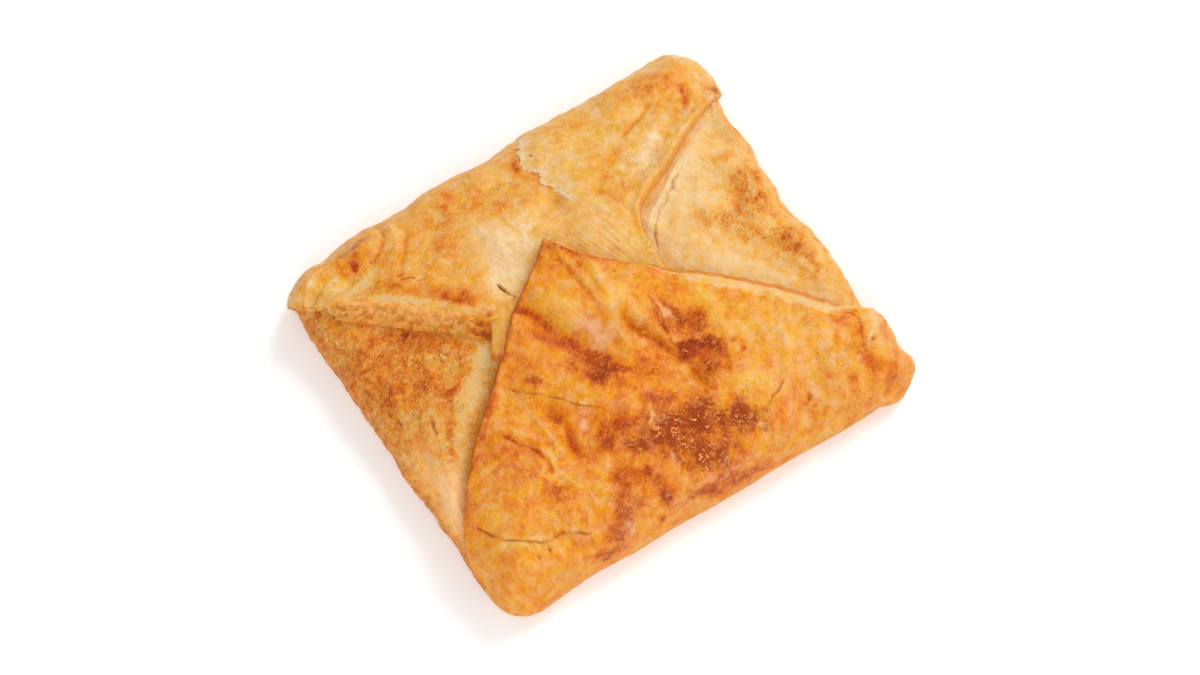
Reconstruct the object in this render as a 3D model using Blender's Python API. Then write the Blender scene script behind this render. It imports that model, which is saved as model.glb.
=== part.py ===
"""Khachapuri baked as an envelope: a filled square of puff pastry with its corners folded in.

The dough is drawn flat in u and v and laid over the filled block, so a point that lies
beyond the block's flat middle goes round its shoulder and down its side. The left and right
folds are the block's own surface. The back fold lies over them and the front fold over all.
"""

import math

import bmesh
import bpy
import numpy as np

# Lengths are in millimetres and become metres when a mesh is made
MM = 0.001

# Driving dimensions of the filled block with its left and right folds
BLOCK_LENGTH = 141.0
BLOCK_WIDTH = 125.0
SHOULDER_RADIUS = 13.0
SHOULDER_HEIGHT = 18.0
CROWN = 6.0
CORNER_POWER = 3.3
TUCK = 2.5

# Folded dough
FLAP_THICKNESS = 5.5
FLAP_ON_WALL = 1.0
FLAP_ROOT = 4.0
RIM_LAYER = 1.8
RIM_LAYERS = 3
BELOW_TABLE = 3.0
SPECK = 0.02

# Grid cells, fine enough for the folds and bulges
BLOCK_CELL = 3.5
FLAP_CELL = 3.1

# Flat middle of the block and the way from its edge down past the table
INNER_U = BLOCK_LENGTH / 2 - SHOULDER_RADIUS
INNER_V = BLOCK_WIDTH / 2 - SHOULDER_RADIUS
WALL = SHOULDER_HEIGHT - SHOULDER_RADIUS
ARC = SHOULDER_RADIUS * math.pi / 2
REACH = ARC + WALL + BELOW_TABLE

# Share of the flat middle's half size at which a side's standing out starts
SIDE_FADE = 0.55

# How far each side stands out from the block, at places along it
RIGHT_SIDE = ((-62.0, 0.8), (-48.0, 1.4), (-38.0, 0.6), (-30.0, -1.0), (-12.0, 0.0), (6.0, -2.8), (32.0, -2.8),
              (44.0, -1.2), (62.0, -5.0))
LEFT_SIDE = ((-62.0, -3.0), (-45.0, -1.2), (-30.0, -0.6), (0.0, 1.2), (20.0, 2.6), (40.0, 3.8), (60.0, 3.2))
BACK_SIDE = ((-72.0, -5.0), (-58.0, -2.8), (-45.0, -1.2), (-20.0, -0.4), (0.0, 0.2), (25.0, 0.0), (45.0, 0.8),
             (68.0, 0.8))
FRONT_SIDE = ((-72.0, 1.4), (-60.0, 0.8), (-40.0, 0.0), (50.0, -0.4), (62.0, -1.2), (72.0, -2.5))

# Free edges of the front fold, from its tip to the walls
FRONT_TIP = (-4.5, 22.5)
FRONT_LEFT = ((-4.5, 22.5), (-23.0, 10.5), (-33.0, -0.5), (-43.0, -11.5), (-55.0, -22.5), (-115.0, -81.0))
FRONT_RIGHT = ((-4.5, 22.5), (22.0, 0.0), (44.0, -20.5), (58.0, -33.5), (118.0, -87.0))

FRONT_REACH = 150.0

# Free edges of the back fold, from its hidden end to the back wall
BACK_LEFT = ((-29.0, 11.5), (-36.0, 19.0), (-47.5, 30.5), (-59.5, 41.0), (-79.0, 57.0), (-88.0, 79.0))
BACK_RIGHT = ((22.0, -7.0), (22.5, 15.0), (26.0, 20.5), (34.5, 23.5), (50.5, 32.5), (65.5, 40.5),
              (85.0, 46.0), (86.0, 79.0))
BACK_LEFT_OUT = (-0.62, -0.78)
BACK_RIGHT_OUT = (0.80, -0.60)

# Loose top crust on the back fold, between its torn lip and the right edge
CRUST_LIP = ((11.0, 66.0), (5.5, 54.0), (2.5, 50.0), (2.0, 45.5), (6.0, 43.0), (4.5, 39.0), (8.5, 34.5),
             (8.5, 29.5), (11.5, 25.0), (15.0, 20.5))
CRUST_RIGHT = ((50.0, 66.0), (48.0, 55.0), (45.0, 49.0), (42.0, 43.0), (39.0, 38.0), (36.0, 33.0),
               (32.0, 28.0), (29.0, 25.0), (26.0, 22.0), (22.0, 19.0))
CRUST_RISE = 1.5

# Pale end of the back fold that hangs beside the front fold
STRIP_LEFT = ((-24.0, 17.0), (-29.0, 11.0), (-32.0, 6.5), (-34.0, 2.0))
STRIP_RIGHT = ((-16.0, 11.0), (-21.0, 6.0), (-25.0, 2.0), (-29.0, -2.0))
STRIP_LIFT = 3.6

# Bulges and hollows: place, radius and height
FRONT_SWELLS = (
    ((-12.0, 9.0), 9.0, 1.6),
    ((-8.5, -12.0), 6.5, -2.4),
    ((0.5, -1.0), 5.0, 1.4),
    ((15.0, -24.0), 8.5, -1.8),
    ((38.0, -37.0), 16.0, 1.4),
    ((-47.0, -36.0), 12.0, 2.4),
    ((-27.0, -14.0), 7.0, 0.9),
    ((-2.0, -47.0), 13.0, 0.8),
)
FRONT_CREASES = (
    (((-19.5, 10.0), (-17.5, 0.0), (-10.0, -10.0)), 3.0, -1.6),
    (((3.5, -12.0), (8.5, -22.5), (12.0, -31.5)), 3.0, -1.3),
    (((-63.5, -40.5), (-55.5, -50.0), (-39.0, -56.5)), 3.0, -1.4),
    (((-37.5, -9.5), (-30.0, -17.5), (-19.5, -27.5)), 3.0, -0.8),
)
BACK_SWELLS = (
    ((-10.0, 37.0), 13.0, 1.0),
    ((-42.0, 41.0), 12.0, 1.2),
    ((4.0, 34.0), 5.5, -1.4),
    ((-55.0, 49.0), 6.0, -1.8),
    ((34.0, 43.0), 11.0, 1.0),
)
BACK_CREASES = (
    (((-74.0, 55.0), (-62.0, 54.5), (-50.0, 53.0)), 3.0, 1.2),
    (((5.0, 35.0), (4.5, 27.0), (1.0, 17.0)), 3.5, -1.1),
)
BLOCK_SWELLS = (
    ((66.0, 15.0), 9.0, 2.2),
    ((66.0, -11.0), 8.0, 1.6),
    ((68.0, 2.0), 6.0, -1.2),
    ((68.0, 27.0), 7.0, -1.0),
    ((-52.0, 7.0), 12.0, 1.6),
    ((-36.0, -3.0), 7.0, -1.6),
    ((-47.0, -12.0), 7.0, -1.4),
    ((46.0, 9.0), 10.0, 1.0),
    ((28.0, 5.0), 6.0, -1.4),
    ((-68.0, -17.0), 14.0, 0.8),
)
BLOCK_CREASES = (
    (((43.5, 26.0), (35.0, 19.0), (26.0, 11.0), (23.0, 5.0)), 3.0, -1.3),
    (((-58.5, -2.0), (-62.0, -17.0), (-68.0, -31.0)), 3.5, 1.2),
)

# Puff of the baked dough: waves of the surface as heading, wavelength, height and phase
PUFF = (
    (0.35, 27.0, 0.30, 0.4),
    (1.25, 17.0, 0.20, 2.1),
    (2.20, 13.0, 0.14, 4.0),
    (2.85, 35.0, 0.35, 1.3),
)


def smooth(low, high, value):
    """Go from 0 to 1 between low and high without a corner."""
    t = np.clip((value - low) / (high - low), 0.0, 1.0)
    return t * t * (3.0 - 2.0 * t)


def stand_out(side, along):
    """How far a side stands out, eased from each of its named places to the next."""
    places = np.array([place for place, out in side])
    outs = np.array([out for place, out in side])
    number = np.clip(np.searchsorted(places, along) - 1, 0, len(side) - 2)
    share = smooth(places[number], places[number + 1], along)
    return outs[number] + (outs[number + 1] - outs[number]) * share


def beyond_middle(u, v):
    """Return the nearest point of the flat middle, the way out from it and how far."""
    near_u = np.clip(u, -INNER_U, INNER_U)
    near_v = np.clip(v, -INNER_V, INNER_V)
    du = u - near_u
    dv = v - near_v
    out = (np.abs(du) ** CORNER_POWER + np.abs(dv) ** CORNER_POWER) ** (1.0 / CORNER_POWER)
    safe = np.maximum(out, 1e-9)
    return near_u, near_v, du / safe, dv / safe, out


def lay(u, v, lift):
    """Lay a point of the flat dough over the block, at a height above its surface."""
    near_u, near_v, way_u, way_v, out = beyond_middle(u, v)
    turn = np.minimum(out / SHOULDER_RADIUS, math.pi / 2)
    down = np.maximum(0.0, out - ARC)
    reach = (SHOULDER_RADIUS + lift) * np.sin(turn)
    reach = reach - TUCK * (down / (WALL + BELOW_TABLE)) ** 2
    x = near_u + way_u * reach
    y = near_v + way_v * reach
    crown = CROWN * (1.0 - (near_u / INNER_U) ** 2) * (1.0 - (near_v / INNER_V) ** 2)
    z = crown + SHOULDER_HEIGHT - SHOULDER_RADIUS + (SHOULDER_RADIUS + lift) * np.cos(turn) - down
    right = stand_out(RIGHT_SIDE, y) * smooth(SIDE_FADE * INNER_U, BLOCK_LENGTH / 2, x)
    left = stand_out(LEFT_SIDE, y) * smooth(SIDE_FADE * INNER_U, BLOCK_LENGTH / 2, -x)
    back = stand_out(BACK_SIDE, x) * smooth(SIDE_FADE * INNER_V, BLOCK_WIDTH / 2, y)
    front = stand_out(FRONT_SIDE, x) * smooth(SIDE_FADE * INNER_V, BLOCK_WIDTH / 2, -y)
    return x + right - left, y + back - front, z


def distance_to_path(u, v, path):
    """Distance from each point to a path of straight stretches."""
    nearest = np.full(np.shape(u), 1e9)
    for (u0, v0), (u1, v1) in zip(path[:-1], path[1:]):
        run_u = u1 - u0
        run_v = v1 - v0
        along = ((u - u0) * run_u + (v - v0) * run_v) / (run_u ** 2 + run_v ** 2)
        along = np.clip(along, 0.0, 1.0)
        nearest = np.minimum(nearest, np.hypot(u - u0 - along * run_u, v - v0 - along * run_v))
    return nearest


def relief(u, v, swells, creases):
    """Height of the bulges, hollows, creases and puff at a point of the dough."""
    height = np.zeros(np.shape(u))
    for (at_u, at_v), radius, rise in swells:
        height += rise * np.exp(-((u - at_u) ** 2 + (v - at_v) ** 2) / radius ** 2)
    for path, width, rise in creases:
        height += rise * np.exp(-(distance_to_path(u, v, path) / width) ** 2)
    for heading, length, rise, phase in PUFF:
        along = u * math.cos(heading) + v * math.sin(heading)
        height += rise * np.sin(along * 2.0 * math.pi / length + phase)
    return height


def along_path(path, distance):
    """Points on a path at distances from its start; before the start it runs straight on."""
    path = np.array(path)
    steps = np.hypot(*np.diff(path, axis=0).T)
    marks = np.concatenate(([0.0], np.cumsum(steps)))
    u = np.interp(distance, marks, path[:, 0])
    v = np.interp(distance, marks, path[:, 1])
    heading = (path[1] - path[0]) / steps[0]
    early = np.minimum(distance, 0.0)
    return u + heading[0] * early, v + heading[1] * early


def path_length(path):
    return float(np.sum(np.hypot(*np.diff(np.array(path), axis=0).T)))


def rim_steps(layer):
    """Places outside a cut edge where its layers step down, and the drop at each, from the far end."""
    steps = [(0.0, 0.0)]
    for number in range(RIM_LAYERS):
        steps.append((-(number * layer + 0.8 * layer), number * RIM_LAYER + 0.35))
        steps.append((-(number * layer + layer), (number + 1) * RIM_LAYER))
    steps.append((-(RIM_LAYERS * layer + 0.5), FLAP_THICKNESS + 1.2))
    return steps[::-1]


def drop_at(place, steps):
    """Drop of the rim at a place, which is negative outside the cut edge."""
    places = [step[0] for step in steps]
    drops = [step[1] for step in steps]
    return np.interp(place, places, drops)


def new_object(bm, name, collection):
    """Turn a mesh in millimetres into an object in metres."""
    bmesh.ops.recalc_face_normals(bm, faces=bm.faces)
    bmesh.ops.scale(bm, vec=(MM, MM, MM), verts=bm.verts)
    mesh = bpy.data.meshes.new(name)
    bm.to_mesh(mesh)
    bm.free()
    item = bpy.data.objects.new(name, mesh)
    collection.objects.link(item)
    return item


def grid_of(columns, rows):
    """A flat primitive grid and the column and row of each of its points."""
    bm = bmesh.new()
    bmesh.ops.create_grid(bm, x_segments=columns - 1, y_segments=rows - 1, size=1.0)
    bm.verts.ensure_lookup_table()
    flat = np.array([vert.co[:2] for vert in bm.verts])
    column = np.rint((flat[:, 0] + 1.0) / 2.0 * (columns - 1)).astype(int)
    row = np.rint((flat[:, 1] + 1.0) / 2.0 * (rows - 1)).astype(int)
    return bm, column, row


def place(verts, points):
    for vert, point in zip(verts, zip(*points)):
        vert.co = point


def slab(name, collection, columns, rows, dough, lift, root=FLAP_ROOT):
    """A thickness of dough: a grid laid over the block, extruded down into it.

    dough gives u and v for a column and a row, and lift the height there. What would lie
    wholly under the table is deleted first.
    """
    bm, column, row = grid_of(columns, rows)
    u, v = dough(column, row)
    top = lift(column, row, u, v)
    bottom = np.minimum(-root, top - 1.0)
    surface = lay(u, v, top)
    under = lay(u, v, bottom)
    place(bm.verts, surface)
    low = set(np.flatnonzero(surface[2] < -BELOW_TABLE / 2).tolist())
    buried = [face for face in bm.faces if all(vert.index in low for vert in face.verts)]
    index_of = bm.verts.layers.int.new("index")
    for vert in bm.verts:
        vert[index_of] = vert.index
    bmesh.ops.delete(bm, geom=buried, context="FACES")
    grown = bmesh.ops.extrude_face_region(bm, geom=list(bm.faces), use_keep_orig=True)
    for item in grown["geom"]:
        if isinstance(item, bmesh.types.BMVert):
            number = item[index_of]
            item.co = (under[0][number], under[1][number], under[2][number])
    return new_object(bm, name, collection)


def block(collection):
    """The filled block with its left and right folds, closed below the table."""
    half_u = INNER_U + REACH
    half_v = INNER_V + REACH
    columns = round(2 * half_u / BLOCK_CELL)
    rows = round(2 * half_v / BLOCK_CELL)
    bm, column, row = grid_of(columns, rows)
    u = np.interp(column, (0, columns - 1), (-half_u, half_u))
    v = np.interp(row, (0, rows - 1), (-half_v, half_v))
    near_u, near_v, way_u, way_v, out = beyond_middle(u, v)
    square = np.maximum(np.abs(u - near_u), np.abs(v - near_v))
    u = near_u + way_u * square
    v = near_v + way_v * square
    fade = 1.0 - smooth(ARC, REACH, square)
    place(bm.verts, lay(u, v, relief(u, v, BLOCK_SWELLS, BLOCK_CREASES) * fade))
    rim = [edge for edge in bm.edges if edge.is_boundary]
    bmesh.ops.holes_fill(bm, edges=rim)
    return new_object(bm, "block", collection)


def front_lift(u, v):
    """Height of the front fold: over the back fold it rides higher, on the walls it is thin."""
    out = beyond_middle(u, v)[4]
    on_wall = smooth(0.0, ARC * 0.8, out)
    over_back = smooth(-15.0, -1.0, v - 0.015 * (u + 2.0) ** 2)
    top = FLAP_THICKNESS + FLAP_THICKNESS * 0.85 * over_back
    right_corner = 2.2 * smooth(56.0, 66.0, u)
    left_corner = 0.8 * smooth(56.0, 66.0, -u)
    return top + (FLAP_ON_WALL + right_corner + left_corner - top) * on_wall


def back_lift(u, v):
    """Height of the back fold above the block."""
    out = beyond_middle(u, v)[4]
    on_wall = smooth(0.0, ARC * 0.8, out)
    top = FLAP_THICKNESS - 1.5 * smooth(34.0, 48.0, v)
    left_corner = 1.8 * smooth(56.0, 66.0, -u)
    right_corner = 0.8 * smooth(56.0, 66.0, u)
    return top + (FLAP_ON_WALL + left_corner + right_corner - top) * on_wall


def fading_relief(u, v, swells, creases):
    """Relief of a fold, faded out towards the table."""
    out = beyond_middle(u, v)[4]
    return relief(u, v, swells, creases) * (1.0 - 0.8 * smooth(ARC * 0.7, REACH, out))


def front_fold(collection):
    """The front fold: a corner of the dough whose two cut edges run along the grid."""
    left_rim = rim_steps(0.35)
    right_rim = rim_steps(1.6)
    inside = np.arange(FLAP_CELL, FRONT_REACH, FLAP_CELL)
    along_left = np.concatenate(([step[0] for step in right_rim], inside))
    along_right = np.concatenate(([step[0] for step in left_rim], inside))

    def dough(column, row):
        left_u, left_v = along_path(FRONT_LEFT, along_left[column])
        right_u, right_v = along_path(FRONT_RIGHT, along_right[row])
        return left_u + right_u - FRONT_TIP[0], left_v + right_v - FRONT_TIP[1]

    def lift(column, row, u, v):
        drop = np.maximum(drop_at(along_left[column], right_rim), drop_at(along_right[row], left_rim))
        return front_lift(u, v) + fading_relief(u, v, FRONT_SWELLS, FRONT_CREASES) - drop

    return slab("front_fold", collection, len(along_left), len(along_right), dough, lift)


def ruled(left, right, columns, rows):
    """Return a function for u and v on straight lines between two paths."""
    share = np.linspace(0.0, 1.0, columns)
    travel = np.linspace(0.0, 1.0, rows)

    def dough(column, row):
        left_u, left_v = along_path(left, travel[row] * path_length(left))
        right_u, right_v = along_path(right, travel[row] * path_length(right))
        part = share[column]
        return left_u + (right_u - left_u) * part, left_v + (right_v - left_v) * part

    return dough


def back_fold(collection):
    """The back fold, wide at the back wall and narrow where the front fold covers it."""
    left_rim = rim_steps(1.7)
    right_rim = rim_steps(1.5)
    middle = 38
    rows = 27
    left_places = np.array([step[0] for step in left_rim])
    right_places = np.array([step[0] for step in right_rim])[::-1]
    count = len(left_places) + middle + len(right_places)
    outside_left = np.concatenate((left_places, np.zeros(middle + len(right_places))))
    outside_right = np.concatenate((np.zeros(len(left_places) + middle), right_places))
    inner = np.clip(np.arange(count) - len(left_places) + 1, 0, middle + 1)
    between = ruled(BACK_LEFT, BACK_RIGHT, middle + 2, rows)

    def dough(column, row):
        u, v = between(inner[column], row)
        u = u - outside_left[column] * BACK_LEFT_OUT[0] - outside_right[column] * BACK_RIGHT_OUT[0]
        v = v - outside_left[column] * BACK_LEFT_OUT[1] - outside_right[column] * BACK_RIGHT_OUT[1]
        return u, v

    def lift(column, row, u, v):
        drop = drop_at(outside_left[column], left_rim) + drop_at(outside_right[column], right_rim)
        return back_lift(u, v) + fading_relief(u, v, BACK_SWELLS, BACK_CREASES) - drop

    return slab("back_fold", collection, count, rows, dough, lift)


def loose_crust(collection):
    """The top crust that has lifted off the back fold behind its torn lip."""
    columns = 10
    rows = 22
    between = ruled(CRUST_LIP, CRUST_RIGHT, columns, rows)

    def lift(column, row, u, v):
        sinking = 2.2 * smooth(0.55 * columns, columns - 1, column)
        ends = 1.8 * (1.0 - smooth(0.0, 3.0, row))
        return back_lift(u, v) + relief(u, v, BACK_SWELLS, BACK_CREASES) + CRUST_RISE - sinking - ends

    return slab("loose_crust", collection, columns, rows, between, lift)


def pale_strip(collection):
    """The pale end of the back fold, hanging beside the front fold."""
    columns = 5
    rows = 8
    between = ruled(STRIP_LEFT, STRIP_RIGHT, columns, rows)

    def lift(column, row, u, v):
        return STRIP_LIFT + relief(u, v, (), ()) - 0.12 * row

    return slab("pale_strip", collection, columns, rows, between, lift)


def new_collection(name):
    collection = bpy.data.collections.new(name)
    bpy.context.scene.collection.children.link(collection)
    return collection


def union(body, collection):
    """Join every object of a collection to the body and remove the collection."""
    join = body.modifiers.new("join_folds", "BOOLEAN")
    join.operation = "UNION"
    join.operand_type = "COLLECTION"
    join.collection = collection
    join.solver = "EXACT"
    apply_modifiers(body)
    for item in list(collection.objects):
        bpy.data.objects.remove(item, do_unlink=True)
    bpy.data.collections.remove(collection)


def apply_modifiers(item):
    """Replace an object's mesh by what its modifiers make of it."""
    bpy.context.view_layer.update()
    graph = bpy.context.evaluated_depsgraph_get()
    mesh = bpy.data.meshes.new_from_object(item.evaluated_get(graph))
    item.modifiers.clear()
    item.data = mesh


def stand_on_table(body, cutters):
    """Cut off what lies under the table, so the pastry rests on a flat face."""
    bm = bmesh.new()
    bmesh.ops.create_cube(bm, size=1.0)
    bmesh.ops.scale(bm, vec=(BLOCK_LENGTH * 1.5, BLOCK_WIDTH * 1.5, 40.0), verts=bm.verts)
    bmesh.ops.translate(bm, vec=(0.0, 0.0, -20.0), verts=bm.verts)
    table = new_object(bm, "table_cutter", cutters)
    table.hide_render = True
    table.display_type = "WIRE"
    cut = body.modifiers.new("flat_base", "BOOLEAN")
    cut.operation = "DIFFERENCE"
    cut.object = table
    cut.solver = "EXACT"
    apply_modifiers(body)


def finish(body):
    """Merge the specks that a union leaves and put the middle of the outline over the origin."""
    bm = bmesh.new()
    bm.from_mesh(body.data)
    bmesh.ops.remove_doubles(bm, verts=bm.verts, dist=SPECK * MM)
    bmesh.ops.dissolve_degenerate(bm, dist=SPECK * MM, edges=bm.edges)
    bmesh.ops.triangulate(bm, faces=bm.faces)
    points = np.array([vert.co for vert in bm.verts])
    middle = (points.min(axis=0) + points.max(axis=0)) / 2.0
    bmesh.ops.translate(bm, vec=(-middle[0], -middle[1], 0.0), verts=bm.verts)
    bm.to_mesh(body.data)
    bm.free()


def crust_material():
    """Egg-washed puff pastry."""
    material = bpy.data.materials.new("baked_crust")
    material.use_nodes = True
    shader = material.node_tree.nodes["Principled BSDF"]
    shader.inputs["Base Color"].default_value = (0.74, 0.39, 0.11, 1.0)
    shader.inputs["Roughness"].default_value = 0.45
    shader.inputs["Metallic"].default_value = 0.0
    return material


def main():
    for item in list(bpy.data.objects):
        bpy.data.objects.remove(item, do_unlink=True)
    whole = new_collection("khachapuri")
    cutters = new_collection("cutters")
    folds = new_collection("folds")
    body = block(whole)
    body.name = "khachapuri"
    back_fold(folds)
    loose_crust(folds)
    pale_strip(folds)
    front_fold(folds)
    union(body, folds)
    stand_on_table(body, cutters)
    finish(body)
    body.data.name = "khachapuri"
    body.data.materials.clear()
    body.data.materials.append(crust_material())
    body.data.shade_smooth()
    body.data.set_sharp_from_angle(angle=math.radians(35.0))


if __name__ == "__main__":
    main()
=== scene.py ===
"""Looks of the khachapuri: a filled square of puff pastry with its corners folded in.

The dough is drawn flat in u and v, in millimetres, and laid over the filled block as in the
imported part. Each fold is a fine sheet of its own, closed underneath, with its browning kept
as numbers on its points. Every call that draws random hills, leaves, dabs or streaks passes
the number of their seed, and sheets that pass the same seed share the same hills.
"""

import math

import bmesh
import bpy
import numpy as np
from bpy.props import FloatProperty, FloatVectorProperty, PointerProperty
from mathutils import Matrix, Vector


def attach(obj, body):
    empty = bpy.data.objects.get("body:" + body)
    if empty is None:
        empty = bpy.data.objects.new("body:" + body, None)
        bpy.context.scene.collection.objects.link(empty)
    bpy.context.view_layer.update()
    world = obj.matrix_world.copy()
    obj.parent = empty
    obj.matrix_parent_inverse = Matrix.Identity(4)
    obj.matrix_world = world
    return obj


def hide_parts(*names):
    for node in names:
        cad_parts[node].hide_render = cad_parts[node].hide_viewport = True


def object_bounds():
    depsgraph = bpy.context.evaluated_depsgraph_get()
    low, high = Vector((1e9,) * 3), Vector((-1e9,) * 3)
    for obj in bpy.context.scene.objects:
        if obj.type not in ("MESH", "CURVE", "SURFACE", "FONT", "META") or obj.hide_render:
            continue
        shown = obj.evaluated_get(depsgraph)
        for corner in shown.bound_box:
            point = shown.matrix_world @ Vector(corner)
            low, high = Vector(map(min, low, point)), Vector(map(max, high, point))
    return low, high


bl_info = {
    "name": "Khachapuri",
    "version": (1, 0, 0),
    "blender": (4, 5, 0),
    "location": "3D View > Sidebar > Khachapuri",
    "description": "Baked envelope of puff pastry with folded corners",
    "category": "Object",
}

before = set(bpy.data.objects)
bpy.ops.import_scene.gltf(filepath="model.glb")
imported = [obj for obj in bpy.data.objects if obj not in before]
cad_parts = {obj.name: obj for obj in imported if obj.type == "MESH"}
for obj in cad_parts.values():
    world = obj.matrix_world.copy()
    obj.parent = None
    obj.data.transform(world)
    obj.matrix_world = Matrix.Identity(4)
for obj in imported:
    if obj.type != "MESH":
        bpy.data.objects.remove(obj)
NODE = "khachapuri"
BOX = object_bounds()

# Lengths are in millimetres, and this turns them into metres
MM = 0.001

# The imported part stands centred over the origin, which moves the drawn dough by this much
CENTRING = (1.056, 0.006)

# How far each side stands out from the block, at places along it
RIGHT_SIDE = ((-62, 2), (-52, -0.5), (-43, 1.3), (-33, -0.8), (-22, -0.2), (-6, -1.5), (7, -3.6),
              (18, -3.7), (26, -2.1), (36, -3.5), (46, -2.4), (54, -2), (62, -4.9))
LEFT_SIDE = ((-63, -4.8), (-52, -3), (-42, -0.6), (-28, -1.2), (0, 0.6), (20, 2.4), (40, 3.8), (60, 3.2))
BACK_SIDE = ((-72, -6.7), (-58, -4), (-45, -1.6), (-20, -0.9), (0, -0.2), (25, 0.4), (45, 0.8), (68, 0.8))
FRONT_SIDE = ((-72, 1.3), (-60, 0.5), (-40, -0.2), (50, -0.6), (62, -1.8), (72, -3.6))
# A side stands out in full at its wall, and not at all within this share of the flat middle
SIDE_FADE = 0.55

# How square the rounded outline of the block is, and how far the dough is drawn below the table
OUTLINE_POWER = 3.3
BELOW_TABLE = 3.0

# Layers of dough that a cut edge shows, and how far each one steps down
LAYERS = 3
LAYER_DROP = 1.8
# A place further than this outside a cut edge lies on its cut
CUT = 0.1
# Browning of the layers of the front fold's right edge: places outside it, and the browning there
PALE_LAYERS = ((-5.3, -2.4, -1.5, -1.1, -0.4), (0.60, 0.54, 0.50, 0.34, 0.28))

# Under its dough a sheet closes in a ring, no lower than this, that runs in to the heart
LOWEST_RING = 1.5
HEART = (0.0, 0.0, 8.0)
# A point no higher than this, in metres, lies on the table
ON_TABLE = 1e-7
# The numbers on the points end at 1, apart from these
FIELD_TOPS = {"film_and_glint": 2.0}

# The sole: its cells, its depth below the folds, how much less on the walls, and its inner rings
SOLE_CELL = 2.0
SOLE_DEPTH = 4.2
SOLE_RISE = 2.6
SOLE_RINGS = 9
SOLE_SHRINK = 0.86

# The side folds end under the others at these places across the block
LEFT_FOLD_END = -14.0
RIGHT_FOLD_END = 8.0

# Grids between two edges: their spans across and along, and their cells next to the usual cell
BACK_SPAN = (138.0, 104.0)
CRUST_SPAN = (40.0, 64.0)
STRIP_SPAN = (12.0, 24.0)
BACK_CELLS = 1.08
LOOSE_CELLS = 0.8

# Oval zones of the dough: middle, two radii and, where it is not 2, how sharp the edge is
STRAND_ZONE = ((12.5, 20.0), 9.0, 15.0)
PALE_ZONE = ((-17.0, 25.0), 7.0, 15.0, 1.5)
PULLED_ZONE = ((-66.8, -25.5), 7.6, 20.0)
OLIVE_ZONE = ((66.0, 34.0), 5.0, 10.0)

# Brings the random hills up to heights from -1 to 1
HILL_GAIN = 1.45

# What the milky skin adds to the crust's colour
MILKINESS = (0.0, 0.055, 0.19, 1.0)

# The stage: half the floor's side in metres, the sensor, and the camera's target on the pastry
FLOOR_HALF = 3.0
SENSOR_WIDTH = 36.0
TARGET = (-1.26, -4.37, 12.4)
# Lamps: name, place and side in metres, and share of the key light's power
LAMPS = (
    ("key_light", (1.05, 0.45, 1.15), 0.7, 1.0),
    ("front_light", (-0.50, -0.95, 1.05), 1.0, 0.72),
)

# Free edges of the folds, from the tip or the middle outwards
FRONT_TIP = (-4.4, 23.6)
FRONT_LEFT = ((-4.4, 23.6), (-9.4, 18.8), (-16.6, 13.6), (-23, 9.2), (-29.4, 2.4), (-35.2, -2.9),
              (-40.8, -7.9), (-46.6, -13.1), (-53.6, -19.2), (-59.6, -26), (-63.8, -32.6), (-67.6, -38.2),
              (-74.5, -46), (-115, -86))
FRONT_RIGHT = ((-4.4, 23.6), (-1.6, 19), (2, 13.6), (8.8, 7.6), (18.4, 0), (28.2, -7.6), (37.6, -15),
               (48, -24.2), (54.2, -30.4), (58.6, -35.6), (64.5, -41), (118, -90))
# How far the front fold is drawn along its edges
FRONT_REACH = 150.0
BACK_LEFT = ((-29, 11.5), (-36, 19), (-47, 29.8), (-56, 38.6), (-63, 46.6), (-70, 55.6), (-77, 65),
             (-90, 82))
BACK_RIGHT = ((21.5, -7), (22.2, 14), (25.6, 21.2), (34, 26), (40.4, 28.9), (49.9, 33.7), (58, 37.6),
              (66, 41.6), (85, 47), (86, 79))
# Ways out of the back fold at its left and right edges
BACK_LEFT_OUT = (-0.62, -0.78)
BACK_RIGHT_OUT = (0.8, -0.6)
# The torn lip of the loose crust and its far side, and the two edges of the pale strip
CRUST_LIP = ((11, 66), (7.2, 57.5), (3, 50.4), (4.4, 47.6), (7.2, 45.8), (4.8, 42.4), (7.6, 39.2),
             (8.2, 35.8), (10, 30.2), (12.6, 24.4), (16, 17.8))
CRUST_RIGHT = ((50, 66), (48, 55), (45, 49), (42, 43), (39, 38), (36, 33), (32, 28), (29, 25), (26, 22),
               (22, 19))
STRIP_LEFT = ((-24.5, 21.5), (-27.6, 15.5), (-29.8, 10.8), (-32.2, 6.6), (-34.6, 3))
STRIP_RIGHT = ((-13, 14), (-17, 9), (-21, 4.6), (-24.5, 1), (-28.5, -3))

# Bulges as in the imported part: place, radius and height; creases: path, width and height
FRONT_SWELLS = (
    ((-12, 9), 9, 1.6),
    ((-8.5, -12), 6.5, -2.4),
    ((0.5, -1), 5, 1.4),
    ((15, -24), 8.5, -1.8),
    ((38, -37), 16, 1.4),
    ((-47, -36), 12, 2.4),
    ((-27, -14), 7, 0.9),
    ((-2, -47), 13, 0.8),
)
FRONT_CREASES = (
    (((-19.5, 10), (-17.5, 0), (-10, -10)), 3, -1.6),
    (((3.5, -12), (8.5, -22.5), (12, -31.5)), 3, -1.3),
    (((-63.5, -40.5), (-55.5, -50), (-39, -56.5)), 3, -1.4),
    (((-37.5, -9.5), (-30, -17.5), (-19.5, -27.5)), 3, -0.8),
)
BACK_SWELLS = (
    ((-10, 37), 13, 1),
    ((-42, 41), 12, 1.2),
    ((4, 34), 5.5, -1.4),
    ((-55, 49), 6, -1.8),
    ((34, 43), 11, 1),
)
BACK_CREASES = (
    (((-74, 55), (-62, 54.5), (-50, 53)), 3, 1.2),
    (((5, 35), (4.5, 27), (1, 17)), 3.5, -1.1),
)
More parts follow.
